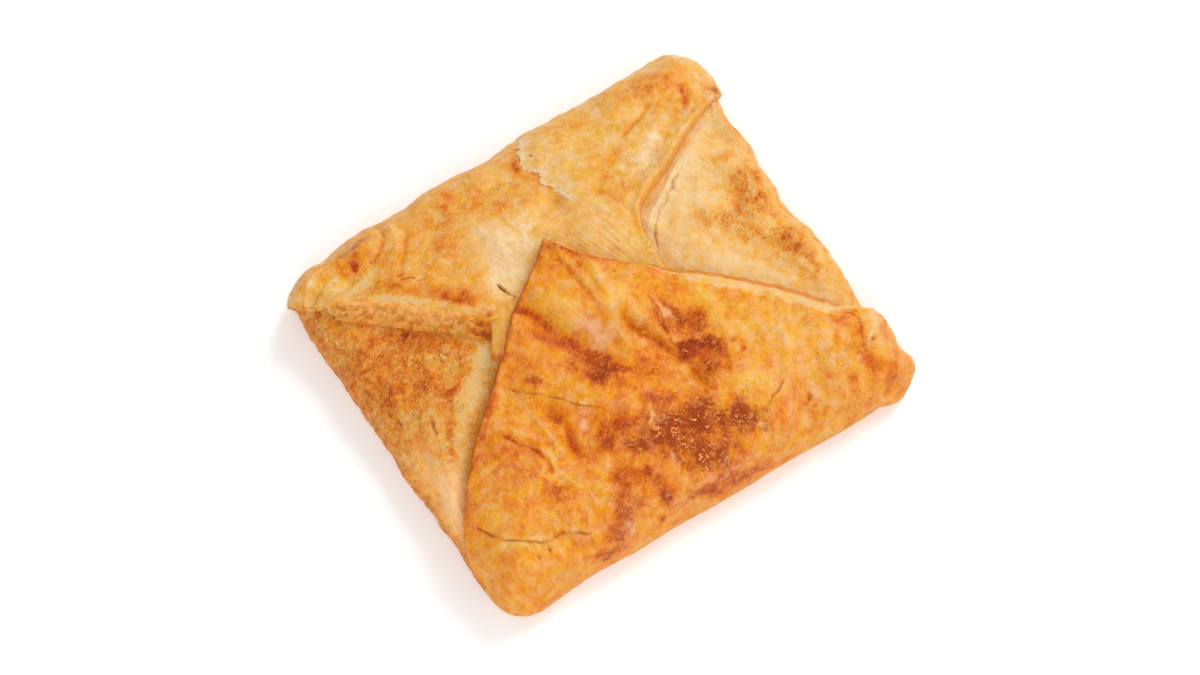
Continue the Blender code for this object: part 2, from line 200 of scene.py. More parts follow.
BLOCK_SWELLS = (
    ((66, 15), 9, 2.2),
    ((66, -11), 8, 1.6),
    ((68, 2), 6, -1.2),
    ((68, 27), 7, -1),
    ((-52, 7), 12, 1.6),
    ((-36, -3), 7, -1.6),
    ((-47, -12), 7, -1.4),
    ((46, 9), 10, 1),
    ((28, 5), 6, -1.4),
    ((-68, -17), 14, 0.8),
)
BLOCK_CREASES = (
    (((43.5, 26), (35, 19), (26, 11), (23, 5)), 3, -1.3),
    (((-58.5, -2), (-62, -17), (-68, -31)), 3.5, 1.2),
)
# Long swells of the puffed dough: heading in radians, length, height and phase
PUFF = (
    (0.35, 27, 0.3, 0.4),
    (1.25, 17, 0.2, 2.1),
    (2.2, 13, 0.14, 4),
    (2.85, 35, 0.35, 1.3),
)

# The front fold: its fine ridges and grooves, with path, width and height
FRONT_FINE = (
    (((2.6, 10.5), (2.9, 4.2), (2.7, -0.5), (1, -5.6), (0.2, -9.2), (0.6, -13)), 1.9, 1),
    (((-4, 17.5), (-2, 10), (-1, 4), (-0.7, -2.5)), 1.3, 0.5),
    (((-5, 15.6), (-4.3, 12.6), (-3.5, 8.8), (-2.7, 4.6), (-2.5, 0), (-2.3, -5)), 0.8, -0.35),
    (((-1.2, 13.8), (-0.2, 10.9), (0.8, 7), (1.1, 4), (1.2, -0.6)), 0.7, -0.35),
    (((-22.4, 9.9), (-19, 5.5), (-18, 2.9), (-17.3, -0.2), (-13.5, -4.7)), 2, -1.1),
    (((-23.4, 0.9), (-19.5, -2.2), (-16.5, -5.3)), 1.5, -0.5),
    (((-14.5, 9.5), (-10.5, 3), (-11.5, -1.5)), 2.6, 0.7),
    (((5.4, -3.4), (8.7, -12), (10.6, -17.3), (12.4, -21.6)), 1.6, 0.8),
    (((3.6, -8.4), (5.9, -13.2), (9.2, -20), (12.3, -26.1), (13.7, -31.5), (14, -35)), 1.4, -0.9),
    (((9.5, -4), (13.5, -10), (16.5, -16)), 1.6, 0.6),
    (((-47.4, -18.1), (-44.9, -19.5), (-43.3, -22.3), (-41, -25.6), (-38.4, -28.6), (-37.2, -33),
      (-37.4, -36.4)), 0.6, -0.5),
    (((-49, -15.6), (-43, -18.2), (-39.4, -22.6), (-36.4, -27.6), (-35, -33.1)), 1.1, 0.6),
    (((-53.4, -27.3), (-48, -26.5), (-43.4, -26.9), (-40.7, -28.1), (-38.2, -30.7)), 0.7, -0.5),
    (((-33.4, -19.6), (-33, -24.8), (-32.8, -28.5), (-32.3, -33)), 1.3, 0.8),
    (((-28.8, -19.6), (-27.7, -24.4), (-27.6, -28.7), (-28.6, -35.1)), 1.9, -0.9),
    (((-36.1, -33.9), (-35.7, -37.8), (-34.4, -41.2), (-32.4, -44.8)), 0.8, 0.5),
    (((-21, -40.1), (-26.6, -45.9), (-33, -50.1), (-37.4, -55.2)), 1.3, 0.45),
    (((42, -33.5), (39.5, -39.3), (35.5, -45.9)), 1.2, 0.4),
    (((52, -33), (51, -43), (49, -54)), 2.2, 0.45),
    (((46, -36), (45, -45), (42, -56)), 1.8, -0.35),
    (((56.6, -35.2), (58.7, -37.9), (60.8, -40), (60.2, -45.5), (59.8, -50), (58.8, -56.5)), 0.9, -0.3),
    (((58, -32.6), (60.2, -33.8), (62.2, -37.2)), 1.2, 0.8),
    (((64.5, -41), (63.2, -46), (62.8, -53)), 1.7, 0.8),
    (((26, -8), (28, -16), (27, -26)), 2.4, 0.5),
)
# Cracks: path, width and depth
FRONT_CRACKS = (
    (((-36.9, -6.6), (-34, -10.8), (-31.4, -13.2), (-27.5, -16.6), (-24.2, -19.6), (-21.7, -22.6),
      (-18.4, -25.4), (-16.2, -27.1)), 0.28, 0.3),
    (((-62.9, -38.4), (-61.5, -41.5), (-60, -44.7), (-57.3, -48.4), (-54.6, -50.1), (-49, -51.9),
      (-45.7, -52.3), (-41.2, -53.6), (-37.1, -55)), 0.32, 0.35),
    (((34, -47.4), (31.9, -48.5), (29.8, -49), (28, -50.1), (24.4, -51)), 0.26, 0.35),
    (((59.8, -38.2), (60.8, -41), (60.2, -46.5), (59.8, -50)), 0.22, 0.15),
    (((13.4, -22.2), (15, -23.4), (16.6, -23.2), (18.4, -25.9), (21.3, -26.7)), 0.32, 0.35),
    (((-11.9, -20.2), (-9.4, -19.2), (-7, -19.8), (-5.3, -20.5), (-2.5, -23)), 0.3, 0.35),
    (((12.6, -6.6), (13.4, -9.6), (13.2, -13), (12.4, -16.4)), 0.24, 0.2),
    (((47.3, -42.8), (46, -43.6), (46.3, -45), (44.7, -46.6)), 0.2, 0.2),
)
# Pits: place, radius and depth
FRONT_PITS = (
    ((-28.8, -11), 1.8, 0.25),
    ((62.2, -50), 0.45, 0.8),
    ((-51.2, -53.6), 0.6, 0.7),
    ((-55.6, -53.7), 0.5, 0.4),
    ((7.8, 4.8), 0.5, 0.2),
    ((-15.7, 0.8), 0.35, 0.2),
    ((28.1, -33.4), 1, 0.2),
    ((38.1, -53.1), 0.7, 0.25),
    ((-11.8, -57), 1.1, 0.4),
    ((-15.6, -63), 0.9, 0.3),
)
# Lines that have taken colour: path, width, browning and scorch
FRONT_STAINS = (
    (((-9, 18.4), (-11.8, 14.6), (-14.9, 11), (-20, 8)), 1.8, 0.08, 0),
    (((-20.5, 8.2), (-19, 6), (-18.1, 2.9), (-17.3, -0.2)), 1.7, 0.1, 0),
    (((-22.6, 0.6), (-19.5, -2.2), (-16.6, -5.3), (-13.2, -8.2)), 1.5, 0.09, 0),
    (((4.3, -10.2), (7.2, -16.6), (10.8, -22.8), (13.3, -28.8), (13.8, -33.5)), 1.1, 0.08, 0),
    (((13.2, -8.6), (12.2, -12), (11.7, -15.5)), 0.8, 0.16, 0.4),
    (((12.1, -16.8), (12.1, -20.7), (14.3, -24.4)), 0.7, 0.2, 0.3),
    (((13.7, -22.6), (16.6, -23.3), (18.4, -25.9), (21.3, -26.7)), 0.8, 0.24, 0.4),
    (((-28.6, -20.2), (-27.7, -24.4), (-27.6, -28.7), (-28.5, -34.1)), 1.6, 0.13, 0.05),
    (((-44.5, -20.5), (-41.6, -25.2), (-38.4, -28.7), (-37.2, -33), (-37.4, -36.6)), 0.7, 0.14, 0.35),
    (((-39.8, -8.6), (-43.6, -12.2), (-46.8, -14.9), (-50.1, -17.6)), 0.9, 0.14, 0),
    (((-4.6, 20.4), (-1, 16.4), (2.7, 12.4), (6.5, 8.8)), 0.7, 0.08, 0),
    (((-3.4, 12), (-3, 8), (-2.2, 4), (-2, -1)), 0.6, 0.04, 0),
    (((0.2, 11), (1.2, 6.5), (1.5, 1.5)), 0.6, 0.04, 0),
    (((-11.5, -19.7), (-8.1, -19.5), (-5.3, -20.5), (-2.7, -22.8)), 0.6, 0.16, 0.3),
    (((-3.5, -33), (-4.4, -37.5), (-8, -41.4)), 0.8, -0.1, -0.3),
    (((-36.1, -34.5), (-35.7, -37.8), (-34.4, -41.2), (-32.8, -44.1)), 0.7, -0.12, 0),
    (((57, -36.1), (58.7, -37.9), (60.9, -39.6), (60.4, -43), (60, -48.7), (59.2, -53)), 0.9, 0.1, 0),
    (((50.5, -26.6), (55.6, -32.6), (57.6, -36.6)), 0.5, 0.16, 0),
    (((38.9, -52.2), (37.7, -53.4), (36.4, -53.9)), 0.5, 0.2, 0.15),
)
# Milky blister skin and painted glints and highlights: place, two radii, heading in degrees and how much
FRONT_FILM_AND_GLINTS = (
    ((-5.2, -8), 2.6, 5.6, 8, 1.7),
    ((-22.6, -28.4), 3, 4.6, -30, 1),
    ((-22.2, -28.1), 0.9, 0.9, 0, 0.7),
    ((-11.8, -29.7), 3.2, 2.6, -30, 0.8),
    ((-5, -37.5), 2.4, 6.5, -30, 0.75),
    ((-13.8, -38.5), 1.3, 1.9, 0, 1),
    ((-7.5, -44.2), 1.1, 1.7, 0, 1),
    ((-6.2, -51.8), 1.1, 1.6, 0, 0.9),
    ((15.1, -12.6), 2.2, 3.2, 10, 0.8),
    ((-33, -26), 1.4, 6.5, 0, 0.6),
    ((-12.2, -57.8), 1.5, 1.3, 0, 0.9),
    ((4.2, -1.1), 0.9, 1.5, 0, 0.8),
    ((-37.6, -55), 1.2, 1, 0, 0.9),
    ((-41.4, -51), 1.6, 1.2, 0, 0.6),
    ((65, -44), 3, 4.5, 0, 0.6),
    ((-48, -30), 7, 6, 0, 0.3),
    ((-8, -62), 7, 3, -30, 0.5),
    ((0, -23), 7, 6, 0, -0.35),
    ((-16, -33), 5, 4, -40, -0.35),
    ((-18.5, 3.5), 3, 5, 0, -0.35),
    ((0, 16), 8, 4, -45, -0.35),
    ((-29, -24), 4, 7, 0, -1.6),
    ((40, -40), 20, 10, -45, 0.12),
    ((37.5, -52), 8, 5, -35, 0.45),
    ((26.5, -56.5), 6, 3.6, -20, 0.3),
    ((-26, -57.5), 3.6, 8.5, -42, 0.85),
    ((8, -59), 9, 3, -15, 0.75),
    ((24, -12), 26, 8, -38, -0.24),
    ((-13, 8), 8, 8, 0, -0.2),
)
# Browned and pale patches: place, two radii, heading in degrees, browning and scorch
FRONT_PATCHES = (
    ((-12, -13), 7.5, 5, -40, 0.17, 0.4),
    ((-8, -16), 3, 5.5, -10, 0.14, 0.5),
    ((-12, -19), 5, 2.4, -20, 0.16, 0.4),
    ((-16, -5), 6.5, 2.2, -45, 0.08, 0),
    ((-20, 2), 5, 2.4, -55, 0.08, 0),
    ((-31, -5), 7, 2.6, -130, 0.1, 0),
    ((17.2, -13.4), 2.4, 4.6, 18, 0.18, 0.5),
    ((21.4, -19.4), 2.8, 4, 0, 0.17, 0.42),
    ((15.8, -25), 2.6, 3.4, 0, 0.17, 0.46),
    ((21.8, -27.6), 1.8, 4.2, 20, 0.17, 0.46),
    ((18, -32.6), 2.2, 3.4, 0, 0.16, 0.44),
    ((14.6, -37.8), 1.8, 2.8, 0, 0.14, 0.3),
    ((17, -20), 7, 11, 15, 0.09, 0.05),
    ((19, -31), 5.5, 7, 15, 0.12, 0.1),
    ((22, -5.5), 7, 3.5, -45, 0.08, 0),
    ((-2.5, -43), 8.6, 7, -35, 0.17, 0.84),
    ((8, -45.5), 8.6, 5.6, -35, 0.13, 0.8),
    ((16.5, -48.6), 9.5, 4, -31, 0.14, 0.68),
    ((-11, -42.8), 4.5, 2.6, -25, 0.22, 0.55),
    ((-6.5, -46.5), 2.4, 3.6, -30, 0.12, 0.6),
    ((4.5, -54.8), 8, 3.6, -20, 0.14, 0.7),
    ((-1, -50), 7, 5, -20, 0.1, 0.5),
    ((12, -52), 6, 4, -20, 0.08, 0.45),
    ((-24, -53.5), 4, 8, -42, 0.12, 0.36),
    ((-19.5, -46.5), 4, 4, -30, 0.13, 0.26),
    ((-28.5, -59), 4.4, 7.5, -45, 0.12, 0.38),
    ((-34.5, -64.5), 4, 4.5, -45, 0.12, 0.42),
    ((13.6, -65), 7.5, 3.4, -10, 0.13, 0.36),
    ((-2, -61), 6.5, 3, -20, 0.12, 0.38),
    ((6, -63), 12, 5, -10, 0.12, 0.28),
    ((-38.5, -43), 3, 2.6, 0, 0.18, 0.4),
    ((-40.5, -39), 2, 2, 0, 0.12, 0.2),
    ((-45.5, -31), 8, 7, 0, 0.08, 0),
    ((-47, -23.5), 7, 2.4, -25, 0.12, 0.05),
    ((-28.7, -10.9), 2.1, 1.9, 0, 0.26, 0.3),
    ((-30, -27), 3.5, 6, 0, 0.06, 0),
    ((-12, -56), 2.4, 1.3, -30, 0.24, 0.4),
    ((-15.6, -62.6), 1.4, 1, 0, 0.2, 0.3),
    ((-55, -50.5), 8, 2.2, -28, -0.18, 0),
    ((39, -31), 14, 7, -40, -0.1, 0),
    ((28, -43), 8, 5, -50, -0.12, 0),
    ((46, -44), 9, 8, -40, -0.08, 0),
    ((27, -15), 5, 3, -45, -0.1, 0),
    ((5, 1), 3, 8, 10, -0.08, 0),
    ((-12.5, 5), 7, 5, -45, -0.06, 0),
    ((-4, 18), 7, 4, -45, 0.08, 0),
    ((2, 12), 6, 2.4, -45, 0.06, 0),
    ((58, -40.5), 2.6, 2, 0, 0.14, 0.05),
    ((61, -54.5), 4, 5, 0, 0.06, 0),
    ((62, -60.5), 3.4, 4, 0, 0.12, 0.05),
    ((51.7, -55.2), 2, 1.6, 0, 0.12, 0.1),
    ((28.1, -33.4), 1.3, 1.2, 0, 0.2, 0.15),
    ((46.5, -64), 4, 2.4, -31, 0.04, 0),
    ((40, -66), 7, 4, -10, -0.08, 0),
    ((64, -45), 2, 4, 0, -0.12, 0),
    ((-24, -36), 8, 6, 0, 0.06, 0),
    ((-14, -34), 8, 4, -45, 0.13, 0),
    ((-16, -35), 5.5, 6, -20, 0.14, 0.34),
    ((-19, -37.5), 3.5, 4, -30, 0.1, 0.3),
    ((-1, -34), 4, 3.2, -30, 0.13, 0.36),
    ((8, -38.5), 5, 2.8, -30, 0.05, 0.4),
    ((-14, -51.8), 5, 3.6, -40, 0.17, 0.36),
    ((-19, -53.5), 3.4, 3.6, -40, 0.06, 0.3),
    ((-1, -24), 10, 7.5, -20, 0.14, 0),
)

# The back fold, in tables of the same kinds
BACK_FINE = (
    (((-29.5, 14.5), (-36.2, 21.4), (-45.6, 30.6), (-55.5, 39.8), (-61.5, 45.4), (-69, 51.4),
      (-78, 58.4)), 1, 0.7),
    (((-34, 22.5), (-42, 31), (-52, 41)), 1.6, -0.5),
    (((-67, 51.5), (-62.8, 54.4), (-59.6, 55.4), (-55.4, 54.4), (-52.6, 51.4)), 0.8, 0.9),
    (((-64.5, 50.6), (-60.5, 51.8), (-57, 50), (-55.4, 47.6)), 1.5, -0.9),
    (((-60.5, 57), (-55, 57.5), (-50, 54.5)), 1.2, -0.7),
    (((-41, 58), (-41.6, 53), (-44.4, 50.4), (-47.6, 48)), 0.8, -0.55),
    (((-36, 50.5), (-38.6, 45.5), (-41.6, 42.3), (-43.9, 38.8)), 0.8, -0.45),
    (((-38.6, 55), (-39, 50), (-42, 46.5)), 1.1, 0.6),
    (((-18, 38), (-15, 29), (-17.5, 20)), 1, 0.4),
    (((-11, 37), (-9.5, 30), (-12, 24)), 1, -0.35),
    (((34, 42.6), (38.5, 44.2), (41, 44.8), (46.3, 47.8)), 0.8, -0.6),
    (((60, 48), (58, 43)), 0.8, -0.7),
    (((24.6, 20), (30.7, 25.1), (40.4, 29.9), (49.9, 34.5), (58, 38.3), (66, 42)), 1, 0.6),
    (((27, 26.5), (35, 31), (46, 36.9), (56, 41.2)), 1.2, -0.6),
    (((16, 31), (21.5, 24.5), (22.5, 16)), 1.2, -0.5),
    (((28.5, 38.5), (23.4, 35.5), (18.6, 30.4)), 1.2, -0.4),
)
BACK_CRACKS = (
    (((-22.3, 19.7), (-21.1, 17.2), (-19.8, 14.4)), 0.36, 0.9),
    (((-43.6, 37.4), (-42, 36.3), (-41, 35.2)), 0.24, 0.3),
    (((-41, 33.9), (-40.2, 33), (-38.6, 32.9), (-38, 34)), 0.16, 0.2),
)
BACK_PITS = (
    ((-29, 13.4), 0.9, 0.5),
    ((-51.6, 50.1), 1, 0.4),
    ((5.6, 35), 1.6, 0.8),
    ((8, 51.6), 0.35, 0.4),
    ((-48.1, 48.6), 0.35, 0.3),
)
BACK_STAINS = (
    (((-40, 57), (-41.6, 52.6), (-44.4, 50.2), (-47.6, 48)), 0.6, 0.09, 0.05),
    (((-36, 50.5), (-38.6, 45.5), (-41.6, 42.3), (-43.9, 38.8)), 0.6, 0.06, 0),
    (((-58, 56.5), (-53.5, 55.5), (-50, 53.6)), 1.4, 0.1, 0),
    (((-36.6, 25.4), (-34.6, 22), (-31.6, 17.2)), 0.9, 0.1, 0.05),
    (((59.6, 47.4), (58.6, 44.6), (57.2, 41.8)), 0.8, 0.2, 0),
    (((53, 41.4), (46.2, 37.4), (40, 33.6)), 1.2, 0.12, 0),
    (((66, 42.6), (58, 38.6), (49.9, 34.4), (40.4, 29.6), (34, 26.6), (27, 22)), 0.9, 0.06, 0),
    (((33.4, 29.8), (26.5, 24.4), (23.2, 18.6), (21.9, 12.6)), 1, 0.1, 0),
    (((28.5, 38.5), (23.4, 35.5), (18.6, 30.4), (20.6, 27)), 1.6, 0.12, 0),
    (((34, 42.6), (38.5, 44.2), (41, 44.8), (46.3, 47.8)), 0.6, 0.14, 0),
    (((2.8, 50.4), (2.2, 47.4), (5.6, 45.2), (3.6, 42), (6.4, 38.8), (7, 35.6), (8.8, 30)), 1.8, 0.12, 0),
    (((7, 58), (4, 52.6), (1.6, 49)), 1.6, 0.12, 0),
)
BACK_PATCHES = (
    ((-25, 50.5), 9, 5, -31, 0.08, 0),
    ((-28, 40.5), 4, 7, 0, 0.13, 0),
    ((-10, 42.2), 8, 3, -35, 0.13, 0),
    ((-15, 51), 6, 3, -31, 0.08, 0),
    ((-38, 36), 9, 7, -45, 0.05, 0),
    ((-34.5, 22), 5, 4, -45, 0.12, 0),
    ((-31, 14), 2.4, 2.4, 0, 0.2, 0.1),
    ((-48, 38), 4, 3, -31, 0.14, 0),
    ((-45, 51), 4, 9, 10, 0.06, 0),
    ((-52.4, 53), 5, 2.6, -31, 0.2, 0),
    ((-52, 48.6), 3, 2.4, -31, 0.14, 0),
    ((-49, 55.8), 2.6, 1.4, -31, 0.06, 0.5),
    ((-51.2, 50.4), 1, 0.9, 0, 0.22, 0.45),
    ((-59, 50.6), 3.6, 2.2, -40, -0.2, 0),
    ((-54, 46), 5, 2.6, -45, -0.14, 0),
    ((-16, 29), 6, 12, 0, -0.22, 0),
    ((-19.5, 20), 5, 6, 0, -0.22, 0),
    ((-24.4, 13), 3.4, 4.6, 0, -0.2, 0),
    ((-6, 28), 7, 9, 0, -0.16, 0),
    ((-6, 33), 4, 8, 0, -0.1, 0),
    ((12, 18), 8, 12, 20, -0.03, 0),
    ((4.5, 38), 3, 5, 0, -0.06, 0),
    ((38.5, 34.5), 8, 3, 31, -0.22, 0),
    ((24.5, 27), 2.4, 5.5, -35, 0.08, 0),
    ((24.5, 37), 4, 5, -20, 0.04, 0),
    ((16, 45), 8, 6, 0, -0.08, 0),
    ((24, 53), 6, 2, -31, 0.08, 0),
    ((50, 53), 12, 5, 0, 0.14, 0),
    ((56, 47), 8, 6, 0, 0.13, 0),
    ((36, 52), 6, 3, 0, 0.06, 0),
    ((69, 44.5), 3.2, 2.2, 20, 0.3, 0.4),
)
BACK_FILM = (
    ((19.5, 11.5), 3.5, 5, 20, -0.5),
    ((-49.5, 56), 2.4, 1.6, -31, 1),
    ((-29.6, 15.4), 1.4, 1, 0, 0.4),
    ((-16, 28), 6, 12, 0, 0.45),
    ((38.5, 34.5), 8, 3, 31, 0.45),
    ((14, 47), 9, 7, 0, 0.05),
    ((12, 18), 8, 12, 20, 0.15),
    ((-52.4, 53), 5, 3, -31, -0.4),
)

# The side folds and their walls, in tables of the same kinds
SIDE_FINE = (
    (((27, 16), (36, 21.5), (46, 27.5), (56, 32.5), (66, 37)), 3.6, 1.7),
    (((-47.5, 17.5), (-51.8, 7.3), (-57.4, -3.3), (-60.6, -15.5), (-66.4, -29.1)), 1.6, 0.7),
    (((-55, 8), (-60, -3), (-64, -16), (-70, -32)), 1.4, 0.45),
    (((-62, 8), (-66, -4), (-70, -18), (-75, -34)), 1.3, 0.4),
    (((-66, 20), (-71, 6), (-76, -12), (-80, -30)), 1.5, 0.35),
    (((-38, 12), (-44, 6), (-50, -2)), 1.5, 0.5),
    (((50, 24), (45, 15), (44, 5)), 2, 0.5),
    (((58, 24), (60, 14), (58, 4)), 2.2, 0.5),
    (((48, 3), (52, -5), (58, -14), (62, -24)), 1.6, 0.5),
    (((38, 4), (46, -6), (54, -16), (60, -27)), 1.8, -0.4),
    (((44, 28.2), (40.4, 25.6), (36.6, 23.2), (33.4, 20.4), (29, 17.4), (25.4, 14.6)), 0.7, 0.35),
    (((43, 24), (39, 20.8), (34.6, 18), (31.6, 14.6), (27.4, 11.8)), 0.6, 0.3),
)
SIDE_CRACKS = (
    (((45.6, 27.3), (43, 24.9), (40.6, 24.1), (38.4, 21.9), (35.9, 20.6), (34.6, 18.9), (31.2, 16.9),
      (29.6, 15.1), (26.4, 13), (25.2, 10.6), (24.2, 7.6)), 0.22, 0.25),
    (((40.6, 24.1), (39.2, 23), (38.4, 21.9)), 0.34, 0.3),
    (((27.6, 13.9), (26.2, 12.6), (25.2, 10.6), (24.8, 9.4)), 0.36, 0.35),
    (((-57.7, -2.4), (-58.6, -4.6), (-58.9, -7.2)), 0.36, 0.8),
    (((-66.6, 6.8), (-66.6, 4), (-66, 1.4)), 0.26, 0.4),
    (((-59.6, -0.4), (-61, -2.6), (-62.6, -3.8)), 0.2, 0.3),
    (((-48.5, 19), (-46, 15.5), (-44.6, 11)), 0.3, 0.4),
)
SIDE_PITS = (
    ((40.7, 1.4), 0.3, 0.3),
    ((56.9, 3.2), 0.3, 0.3),
    ((46.6, 27), 1.2, 0.4),
    ((38.2, 21.8), 1.2, 0.4),
    ((26, 12.2), 1.2, 0.5),
)
SIDE_STAINS = (
    (((66, 14.9), (64.1, 9.6), (60.4, 7.2), (58, 10)), 1.2, 0.14, 0.1),
    (((60.1, 3.8), (62.6, 0), (61.4, -5), (60.4, -11.4)), 0.9, 0.12, 0.1),
    (((62.4, -10.4), (59.5, -12.9), (57.2, -8.6), (60, -7)), 0.9, 0.16, 0.2),
    (((62, -16), (62, -18.7), (61.2, -22.4)), 0.9, 0.16, 0.15),
    (((46, 27.4), (38, 22.4), (31, 17), (26, 12.6), (23.6, 6)), 1.5, -0.09, 0),
    (((-47.1, 2), (-51.9, -3.5), (-54.9, -8.3), (-58.5, -15.2), (-60.7, -22.7), (-63.5, -29.7)),
      0.9, 0.16, 0),
    (((-36.6, 9.6), (-40.4, 8.6), (-44, 5), (-48, 0.5)), 1.2, 0.12, 0),
    (((-58, 27.6), (-54, 25), (-50, 22.6), (-45, 18.4)), 2.4, 0.14, 0.05),
)
SIDE_PATCHES = (
    ((-68, -26), 2.6, 8, -13, -0.08, 0),
    ((60, 14), 6, 6, 0, 0.22, 0.05),
    ((60, 6), 8, 5, 0, 0.16, 0),
    ((48.5, 6), 8, 4.5, -31, 0.17, 0),
    ((60, -7.5), 5, 5.5, 0, 0.18, 0.1),
    ((61.5, -13), 4, 5, 0, 0.15, 0.1),
    ((61.5, -19.5), 3, 4.5, 0, 0.13, 0.05),
    ((52, -3), 7, 4.5, -40, 0.12, 0),
    ((58, 24), 4, 3, 0, 0.08, 0),
    ((62, 31), 5, 3, -31, 0.12, 0),
    ((67, 36), 5, 8, 0, 0.14, 0),
    ((40, 8), 7, 3.5, -20, 0.1, 0),
    ((43, 17), 5, 8, 20, -0.12, 0),
    ((33, 8), 7, 6, 0, -0.12, 0),
    ((42, -7), 8, 5, -31, -0.12, 0),
    ((46, 27), 6, 4, 0, -0.08, 0),
    ((-39.9, 1.5), 4.2, 6.5, -45, -0.2, 0),
    ((-46.8, -4.6), 4, 7, -45, -0.19, 0),
    ((-54, -12.8), 3, 8, -40, -0.12, 0),
    ((-60.5, -20.6), 2.4, 6.5, -35, -0.17, 0),
    ((-66, -29), 3.6, 7, 15, -0.3, 0),
    ((-34.5, 5), 4, 3.6, 0, -0.3, 0),
    ((-64, 22), 8, 5, 0, 0.1, 0.05),
    ((-64.5, 11), 5, 6, 0, 0.12, 0.05),
    ((-58, 14), 7, 6, 0, 0.06, 0.05),
    ((-50, 19), 7, 4, -45, 0.08, 0),
    ((-41, 12), 6, 2.4, -45, 0.08, 0),
    ((-53, 2), 3.5, 7, 20, 0.12, 0),
    ((-63, -9), 5, 9, 20, 0.08, 0),
    ((-53.5, 9), 5, 4, 0, 0.1, 0),
    ((-66, -14), 4, 14, 15, -0.12, 0),
    ((-60, -6), 3, 8, 15, -0.1, 0),
)


def smooth(low, high, value):
    """Go from 0 to 1 between low and high without a corner."""
    t = np.clip((value - low) / (high - low), 0.0, 1.0)
    return t * t * (3.0 - 2.0 * t)


def lattice(ix, iy, seed):
    """A repeatable number from 0 to 1 for a place on the lattice."""
    mixed = (ix * 374761393 + iy * 668265263 + seed * 974634777) & 0xFFFFFFFF
    mixed = ((mixed ^ (mixed >> 13)) * 1274126177) & 0xFFFFFFFF
    return ((mixed ^ (mixed >> 16)) & 0xFFFFFF) / float(0x1000000)


def waves(x, y, seed):
    """Soft random hills of about one unit across, from -1 to 1."""
    ix = np.floor(x).astype(np.int64)
    iy = np.floor(y).astype(np.int64)
    fx = x - ix
    fy = y - iy
    sx = fx * fx * fx * (fx * (fx * 6.0 - 15.0) + 10.0)
    sy = fy * fy * fy * (fy * (fy * 6.0 - 15.0) + 10.0)
    corners = []
    for dy in (0, 1):
        for dx in (0, 1):
            turn = lattice(ix + dx, iy + dy, seed) * 2.0 * math.pi
            corners.append(np.cos(turn) * (fx - dx) + np.sin(turn) * (fy - dy))
    low = corners[0] + (corners[1] - corners[0]) * sx
    high = corners[2] + (corners[3] - corners[2]) * sx
    return (low + (high - low) * sy) * HILL_GAIN


def ripple(x, seed, row=0.0):
    """Soft random swings along a line, from -1 to 1, on a row of their own."""
    return waves(x, np.full(np.shape(x), row), seed)


def rough(x, y, seed, octaves=4, fall=0.55):
    """Hills on hills, each set half as wide as the last."""
    total = np.zeros(np.shape(x))
    share = 1.0
    for number in range(octaves):
        total += share * waves(x * 2.0 ** number, y * 2.0 ** number, seed + 17 * number)
        share *= fall
    return total


def strayed(u, v, seed, far=1.0):
    """The place moved a little at random, so that drawn outlines turn natural."""
    du = 1.5 * waves(u / 7.0, v / 7.0, seed) + 0.5 * waves(u / 2.1, v / 2.1, seed + 1)
    dv = 1.5 * waves(u / 7.0, v / 7.0, seed + 2) + 0.5 * waves(u / 2.1, v / 2.1, seed + 3)
    return u + du * far, v + dv * far


def leaves(u, v, size, seed, levels=2.4):
    """Torn leaves of pastry: their height, the light rim of each, partly a painted highlight, and the
    painted shade beside it.
    """
    wu, wv = strayed(u, v, seed + 5, 0.8)
    field = waves(wu / size, wv / size, seed) + 0.5 * waves(wu / size * 2.3, wv / size * 2.3, seed + 1)
    field = field * levels
    slope = np.clip(np.hypot(*np.gradient(field)), 1e-4, 0.5)
    whole = np.floor(field)
    part = field - whole
    height = (whole + smooth(0.0, 1.2 * slope, part)) / levels
    # A lighter rim just above each step, partly a painted highlight, and painted shade just below the next
    # step
    rim = np.exp(-((part / slope - 0.6) / 0.9) ** 2)
    shade = np.exp(-(((1.0 - part) / slope - 0.3) / 0.9) ** 2)
    return height, rim, shade


def flaked(u, v, size, seed):
    """Small torn flakes, their light rims, partly a painted highlight, and their painted shades, broken off
    here and there.
    """
    height, rim, shade = leaves(u, v, size, seed, 2.0)
    kept = smooth(-0.25, 0.35, waves(u / 2.3, v / 2.3, seed + 9))
    return height, rim * kept, shade * kept


def dabs(u, v, size, seed):
    """Patches of even tone with soft edges, from -1 to 1."""
    wu, wv = strayed(u, v, seed + 3, 0.5)
    return np.tanh(2.6 * rough(wu / size, wv / size, seed, 3))


def streaks(u, v, heading, width, length, seed):
    """Fine lines of the rolled dough, running along a heading in degrees."""
    turn = math.radians(heading)
    along = u * math.cos(turn) + v * math.sin(turn)
    across = v * math.cos(turn) - u * math.sin(turn)
    return rough(across / width + 0.6 * waves(u / 8.0, v / 8.0, seed + 4), along / length, seed, 3)


def zone(u, v, at, long, short, edge=2):
    """A soft-edged oval: 1 in its middle, 0 outside."""
    return np.exp(-(((u - at[0]) / long) ** 2 + ((v - at[1]) / short) ** 2) ** edge)


def rounded(path, step=1.3):
    """A path as a smooth curve through its points."""
    points = np.array(path, float)
    held = np.vstack((2.0 * points[0] - points[1], points, 2.0 * points[-1] - points[-2]))
    curve = []
    for a, b, c, d in zip(held[:-3], held[1:-2], held[2:-1], held[3:]):
        count = max(2, int(np.hypot(*(c - b)) / step))
        t = np.linspace(0.0, 1.0, count, endpoint=False)[:, None]
        curve.append(0.5 * (2.0 * b + (c - a) * t + (2.0 * a - 5.0 * b + 4.0 * c - d) * t ** 2
                            + (3.0 * b - a - 3.0 * c + d) * t ** 3))
    curve.append(points[-1:])
    return np.vstack(curve)


